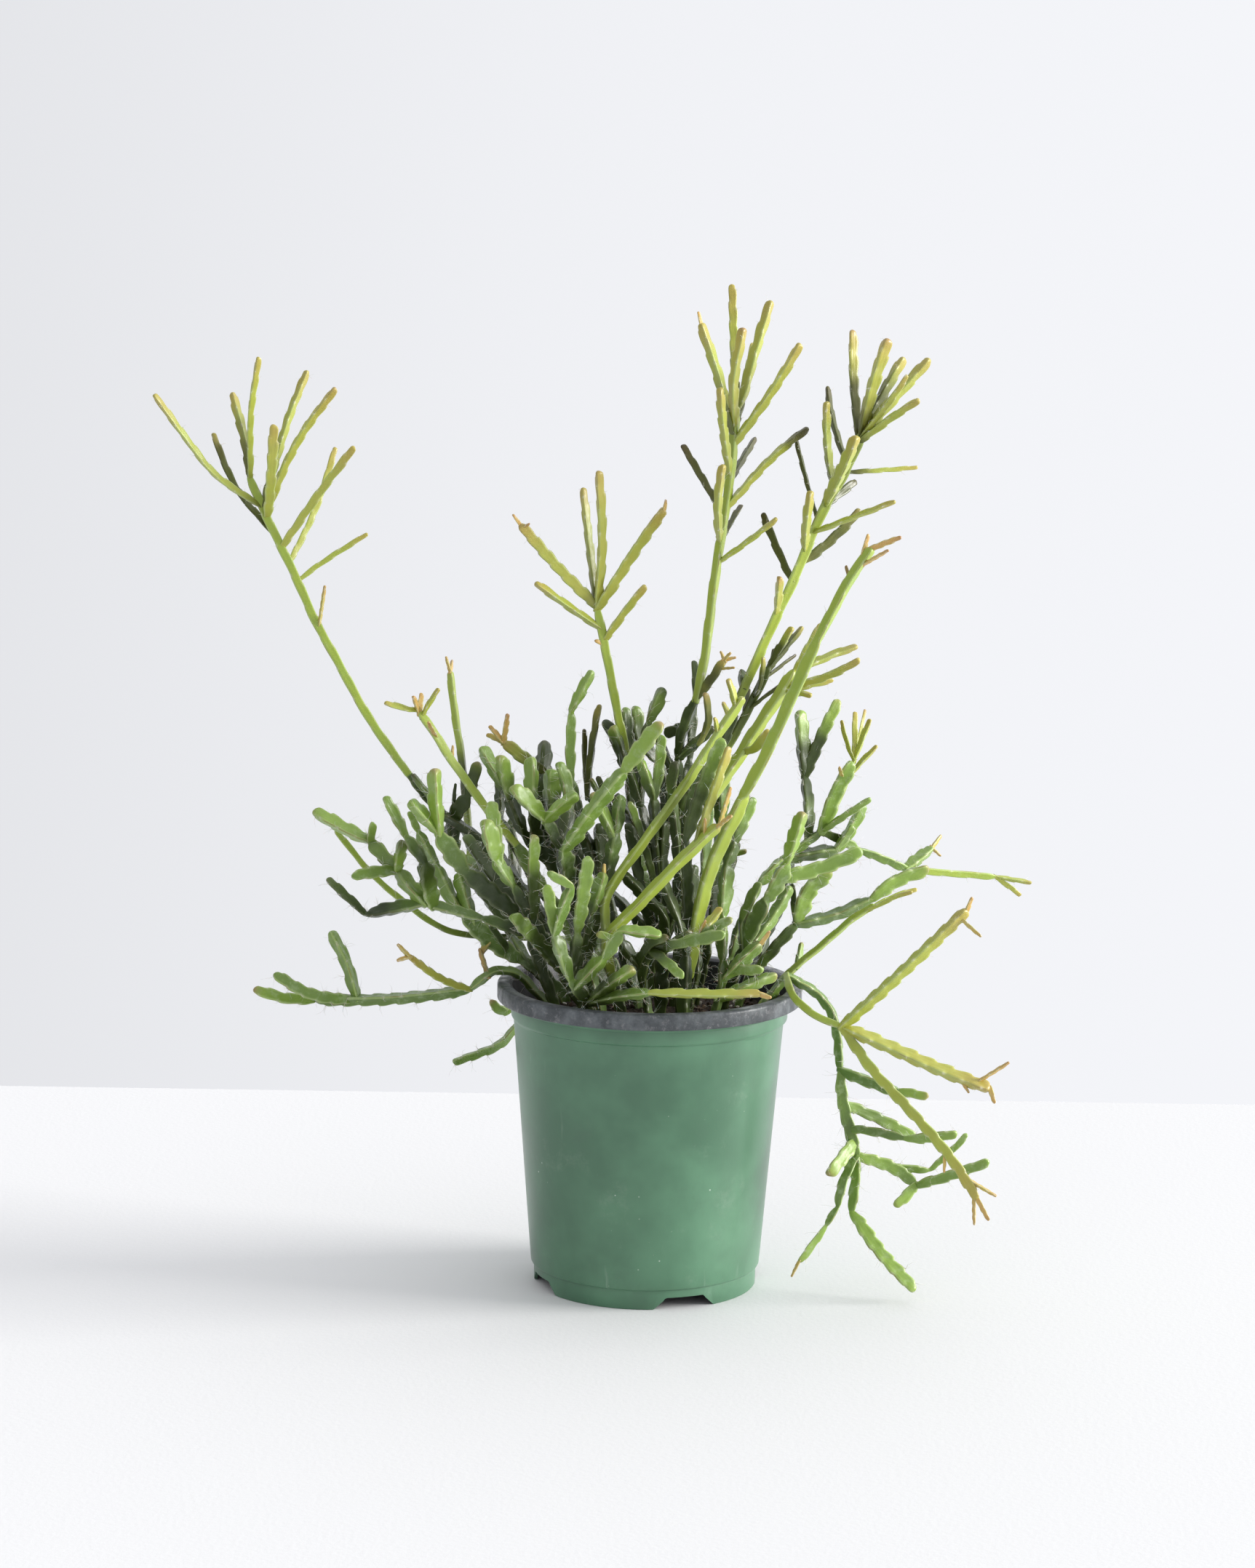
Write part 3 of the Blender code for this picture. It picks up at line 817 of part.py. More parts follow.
def pot_profile():
    """From the lip's inner edge down the outside, in under the floor and back up the inside."""
    top, lip, step = POT_HEIGHT, LIP_RADIUS, COLLAR_STEP
    hem = lip - LIP_WALL
    under_lip = top - LIP_WALL
    inner_top = COLLAR_RADIUS - WALL
    foot = FOOT_RADIUS - FOOT_TAPER
    outside = [
        (inner_top + LIP_ROUND / 2, top), (lip - LIP_ROUND, top), (lip, top - LIP_ROUND),
        (lip, top - LIP_DROP + LIP_ROUND), (lip - LIP_ROUND / 2, top - LIP_DROP), (hem, top - LIP_DROP),
        (hem, under_lip), (COLLAR_RADIUS, under_lip),
        (COLLAR_RADIUS, COLLAR_STEP_HEIGHT + step / 2),
        (COLLAR_RADIUS - step, COLLAR_STEP_HEIGHT - step / 2),
        (COLLAR_RADIUS - step, COLLAR_BOTTOM + step), (WALL_TOP_RADIUS, COLLAR_BOTTOM),
        (WALL_FOOT_RADIUS, FOOT_HEIGHT), (FOOT_RADIUS, FOOT_HEIGHT - FOOT_TAPER * 3), (foot, 0),
    ]
    inside = [
        (foot - WALL, 0), (FOOT_RADIUS - WALL, FLOOR), (0, FLOOR),
        (0, FLOOR + WALL), (FOOT_RADIUS - WALL, FLOOR + WALL),
        (WALL_FOOT_RADIUS - WALL, FOOT_HEIGHT + WALL), (WALL_TOP_RADIUS - WALL, COLLAR_BOTTOM),
        (COLLAR_RADIUS - step - WALL, COLLAR_STEP_HEIGHT - step),
        (inner_top, top - LIP_ROUND), (inner_top + LIP_ROUND / 2, top),
    ]
    return outside, inside


def notch_cutters(cutters):
    """Wedges that cut the foot's notches, wider at the bottom than at the top."""
    for k in range(NOTCH_COUNT):
        outline = bpy.data.curves.new("notch", "CURVE")
        outline.dimensions = "2D"
        outline.fill_mode = "BOTH"
        outline.extrude = NOTCH_CUTTER_DEPTH / 2 * MM
        spline = outline.splines.new("POLY")
        slope = (NOTCH_BOTTOM - NOTCH_TOP) / 2 / NOTCH_HEIGHT
        low = NOTCH_BOTTOM / 2 + slope
        corners = [(-low, -1), (low, -1), (NOTCH_TOP / 2, NOTCH_HEIGHT), (-NOTCH_TOP / 2, NOTCH_HEIGHT)]
        spline.points.add(len(corners) - 1)
        for point, (x, z) in zip(spline.points, corners):
            point.co = (x * MM, z * MM, 0, 1)
        spline.use_cyclic_u = True
        guide = bpy.data.objects.new("notch", outline)
        cutters.objects.link(guide)
        around = NOTCH_FIRST + k * math.tau / NOTCH_COUNT
        guide.rotation_euler = (math.pi / 2, 0, around)
        guide.location = (math.sin(around) * FOOT_RADIUS * MM, -math.cos(around) * FOOT_RADIUS * MM, 0)
        bpy.context.view_layer.update()
        graph = bpy.context.evaluated_depsgraph_get()
        mesh = bpy.data.meshes.new_from_object(guide.evaluated_get(graph))
        weld = bmesh.new()
        weld.from_mesh(mesh)
        bmesh.ops.remove_doubles(weld, verts=weld.verts, dist=0.00001)
        bmesh.ops.recalc_face_normals(weld, faces=weld.faces)
        weld.to_mesh(mesh)
        weld.free()
        wedge = bpy.data.objects.new("notch_cutter", mesh)
        wedge.matrix_world = guide.matrix_world
        bpy.data.objects.remove(guide)
        as_cutter(wedge, cutters)


def as_cutter(obj, cutters):
    """Keep a cutter out of the renders and show it as wires."""
    in_collection(obj, cutters)
    obj.hide_render = True
    obj.display_type = "WIRE"


def upright_cutter(x, y, low, high, radius, sides, cutters):
    """A plain round cutter standing at x, y."""
    bpy.ops.mesh.primitive_cylinder_add(
        vertices=sides, radius=radius * MM, depth=(high - low) * MM,
        location=(x * MM, y * MM, (low + high) / 2 * MM))
    as_cutter(bpy.context.object, cutters)


def build_pot(parts, cutters):
    """The nursery pot, one thermoformed piece."""
    outside, inside = pot_profile()
    pot = turned("pot", outside + inside, POT_STEPS, parts)
    settled(pot)
    notch_cutters(cutters)
    for k in range(DRAIN_COUNT):
        around = (k + 0.5) * math.tau / DRAIN_COUNT
        upright_cutter(DRAIN_CIRCLE * math.cos(around), DRAIN_CIRCLE * math.sin(around),
                       FLOOR - CUTTER_REACH, FLOOR + WALL + CUTTER_REACH,
                       DRAIN_RADIUS, DRAIN_SIDES, cutters)
    boolean(pot, "DIFFERENCE", cutters)
    pot.data.materials.append(material("green_plastic", (0.10, 0.22, 0.13), 0.55))
    pot.data.shade_smooth()
    pot.data.set_sharp_from_angle(angle=math.radians(30))
    return pot


def lumps(x, y):
    """The soil's relief, a few crossing ripples."""
    return LUMP_HEIGHT * (0.5 * math.sin(0.31 * x + 0.8) * math.cos(0.27 * y - 0.4)
                          + 0.5 * math.sin(0.17 * x - 0.23 * y + 1.9))


def build_soil(parts, holes):
    """The soil, cut to the pot's inside, with a plain hole for each stem's foot."""
    top, bottom = SOIL_TOP, FLOOR + WALL + SOIL_CLEARANCE
    foot = WALL_FOOT_RADIUS - WALL - SOIL_CLEARANCE
    shoulder = WALL_TOP_RADIUS - WALL - SOIL_CLEARANCE
    profile = [(0, top), *[(r, top) for r in SOIL_RINGS], (shoulder - SOIL_EDGE, top),
               (shoulder, top - SOIL_EDGE), (foot, FOOT_HEIGHT + WALL * 2),
               (foot - SOIL_EDGE, bottom), (0, bottom)]
    soil = turned("soil", profile, SOIL_STEPS, parts)
    settled(soil)
    for v in soil.data.vertices:
        x, y = v.co.x / MM, v.co.y / MM
        if v.co.z > (top - SOIL_EDGE / 2) * MM and math.hypot(x, y) < max(SOIL_RINGS) + SOIL_EDGE:
            v.co.z += lumps(x, y) * MM
    for (x, y), rows in STEMS.values():
        width = rows[0][4]
        radius = (peg_radius(width) + HOLE_CLEARANCE) / math.cos(math.pi / HOLE_SIDES)
        upright_cutter(x, y, PEG_TOP - PEG_DEPTH - HOLE_CLEARANCE, top + CUTTER_REACH,
                       radius, HOLE_SIDES, holes)
    boolean(soil, "DIFFERENCE", holes)
    soil.data.materials.append(material("potting_soil", (0.03, 0.022, 0.016), 0.95))
    return soil


def main():
    for obj in list(bpy.data.objects):
        bpy.data.objects.remove(obj)
    parts, cutters, holes = collection(NAME), collection("pot_cutters"), collection("soil_cutters")
    segments = grow()
    spread(segments)
    build_pot(parts, cutters)
    build_soil(parts, holes)
    finish = material("rhipsalis_green", (0.12, 0.24, 0.07), 0.5)
    for name in STEMS:
        build_stem(name, [s for s in segments if s.stem == name], parts, finish)
    corners = [obj.matrix_world @ v.co for obj in parts.objects for v in obj.data.vertices]
    middle = [(min(c[k] for c in corners) + max(c[k] for c in corners)) / 2 for k in (0, 1)]
    origin = bpy.data.objects.new(f"{NAME}_origin", None)
    origin.location = (-middle[0], -middle[1], 0)
    parts.objects.link(origin)
    for obj in parts.objects:
        if obj is not origin:
            obj.parent = origin
    bpy.context.view_layer.update()


main()
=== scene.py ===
"""The looks of a potted rhipsalis: a jungle cactus of branching, three-angled stems in a green nursery pot.

The stems are laid out by the same table and rules as the solids, in millimetres round the pot's axis, and are
then skinned much finer: rounded ridges with small teeth, waists at the joints, blunt tips and white bristles.
"""
import json
import math
import re
from collections import namedtuple

import bmesh
import bpy
import numpy as np
from mathutils import Matrix, Vector

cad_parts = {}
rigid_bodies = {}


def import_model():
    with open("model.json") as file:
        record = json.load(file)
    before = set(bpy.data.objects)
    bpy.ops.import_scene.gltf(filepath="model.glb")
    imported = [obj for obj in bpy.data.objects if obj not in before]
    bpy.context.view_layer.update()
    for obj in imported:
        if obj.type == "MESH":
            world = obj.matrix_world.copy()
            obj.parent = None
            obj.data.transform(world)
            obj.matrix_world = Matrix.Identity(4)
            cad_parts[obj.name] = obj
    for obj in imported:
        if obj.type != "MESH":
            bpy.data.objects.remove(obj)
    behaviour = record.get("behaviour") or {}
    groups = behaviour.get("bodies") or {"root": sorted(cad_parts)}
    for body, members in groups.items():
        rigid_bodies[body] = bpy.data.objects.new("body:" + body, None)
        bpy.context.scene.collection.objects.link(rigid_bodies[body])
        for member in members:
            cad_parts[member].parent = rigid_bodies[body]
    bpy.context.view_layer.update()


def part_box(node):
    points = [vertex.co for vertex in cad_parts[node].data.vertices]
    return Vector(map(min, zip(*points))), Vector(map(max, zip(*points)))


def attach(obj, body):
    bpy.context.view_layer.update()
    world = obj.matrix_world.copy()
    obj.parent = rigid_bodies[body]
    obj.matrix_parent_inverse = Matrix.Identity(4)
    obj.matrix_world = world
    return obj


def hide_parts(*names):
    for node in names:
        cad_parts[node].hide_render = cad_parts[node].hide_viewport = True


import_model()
pot_low, pot_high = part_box("pot")
AXIS = (pot_low + pot_high) / 2

# A millimetre in metres, and the seed of all random draws
MM = 0.001
SEED = 11

# The photograph's view, from the pot's ellipses: where the eye is from the pot's foot, how the camera is held
# and its focal length as a share of the picture's height
EYE_RIGHT = -8.75
EYE_BACK = 1428.4
EYE_UP = 412.2
PITCH = math.radians(9.25)
ROLL = math.radians(0.87)
SENSOR = 36.0
FOCAL_SHARE = 5659.0 / 2156

# The floor ends a little behind the plant, where the photograph has its line. Its colour carries painted
# light, lighter on the left away from the window, changing over FLOOR_FADE either side of the middle, in
# metres
FLOOR_BACK = 278.0
FLOOR_FRONT = -2600.0
FLOOR_SIDE = 2600.0
FLOOR_FADE = 0.32

# The pot: a thermoformed shell with a rolled lip, a two-step collar, a tapered wall and a notched foot
POT_HEIGHT = 108.5
LIP_RADIUS = 54.0
LIP_DROP = 5.7
LIP_WALL = 1.3
LIP_ROUND = 1.0
COLLAR_RADIUS = 49.9
COLLAR_STEP_HEIGHT = 101.5
COLLAR_STEP = 0.9
COLLAR_BOTTOM = 96.0
WALL_TOP_RADIUS = 47.9
WALL_FOOT_RADIUS = 40.8
FOOT_HEIGHT = 7.5
FOOT_RADIUS = 39.7
FOOT_TAPER = 0.2
WALL = 1.2
FLOOR = 5.0
NOTCH_COUNT = 4
NOTCH_FIRST = math.radians(21)
NOTCH_TOP = 14.0
NOTCH_BOTTOM = 23.0
NOTCH_HEIGHT = 4.3
NOTCH_CUTTER_DEPTH = 8.0
DRAIN_COUNT = 6
DRAIN_RADIUS = 3.2
DRAIN_CIRCLE = 27.0
CUTTER_REACH = 2.0

# The soil: it fills the pot to about a centimetre below the lip and is a little lumpy on top
SOIL_TOP = 97.5
SOIL_CLEARANCE = 0.7
SOIL_EDGE = 1.5
LUMP_HEIGHT = 0.7
PEG_DEPTH = 11.0
PEG_TOP = 100.0
PEG_SHARE = 0.42
THINNEST_PEG = 4.6

# How each kind of segment is shaped: the length from one notch of the solid to the next, and the share of its
# width that it has at its joint and at a free tip
Shape = namedtuple("Shape", "band waist tip")
OLD, YOUNG, WAND, BUD = "old", "young", "wand", "bud"
SHAPES = {
    OLD: Shape(band=7.0, waist=0.45, tip=0.62),
    YOUNG: Shape(band=11.0, waist=0.50, tip=0.60),
    WAND: Shape(band=7.0, waist=0.80, tip=0.75),
    BUD: Shape(band=9.0, waist=0.70, tip=0.50),
}

# How a segment's ridges, ends and centre line run, and which segments follow on in one run
RIDGE_SHARE = 0.58
FIRST_RIDGE = (0.3, -0.9, 0.2)
JOINT_TAPER = 5.0
LONGEST_JOINT = 0.3
TIP_TAPER = 2.5
LONGEST_TIP = 0.2
SINK = 1.2
ROUTE_SPACING = 3.0
CURVE_STEPS = 8
FEWEST_STEPS = 3
LEAVING = 0.04
LOOK_AHEAD = 0.1
LOOK_BACK = 0.2
FEWEST_BANDS = 3
FOLLOWS_FROM = 0.965
STRAIGHT_ENOUGH = 0.1

# How stems make room for each other
CLEARANCE = 0.9
POT_CLEARANCE = 0.6
PLANTED_RADIUS = 45.8
ROOTED_SHARE = 0.5
WALL_GAP = 1.0
SOIL_GAP = 0.5
GROUND_CLEARANCE = 1.4
SPREAD_STEPS = 160
SEARCH_EVERY = 10
SEARCH_REACH = 8.0
SIDEWAYS = 0.25
DEPTHWAYS = 0.4
BENDING_SHARE = 0.35

# How the pot and the soil are refined
POT_SIDES = 160
WALL_BANDS = 12
LIP_WAVE = 0.25
NOTCH_ROUND = 1.6
NOTCH_BELOW = 1.0
NOTCH_CUTTER_INWARD = 4.0
DRAIN_SIDES = 24
CREASE = math.radians(40)
SOIL_BANDS = 60
SOIL_SIDES = 200
SOIL_EDGE_WIDTH = 2.0
SOIL_CRUMB = 0.55
SOIL_GRAIN = 0.25
CHIP_RISE = 0.5
CHIP_MARGIN = 1.5
CHIP_CREASE = math.radians(30)

# The light: a wide window low and far off on the right, in a pale room that is brighter to the right, the
# back and the top, and a little lifted along the middle
ROOM_COLOUR = (0.955, 0.965, 1.0)
ROOM_MIDDLE = 0.88
ROOM_SIDEWAYS = 0.43
ROOM_FRONT = 0.72
ROOM_DEPTH = 0.8
ROOM_TOP = 1.4
ROOM_TOP_RANGE = (0.2, 0.9)
ROOM_LIFT = 0.035
ROOM_LIFT_REACH = 0.2
LAMPS = (
    ("window", (4.8, -0.15, 1.15), (0.0, 0.0, 0.12), 2.4, 2.0, 365.0, (1.0, 0.985, 0.955)),
    ("fill", (-0.9, -1.6, 1.4), (0.0, 0.0, 0.15), 1.5, 1.5, 3.0, (0.94, 0.97, 1.0)),
)

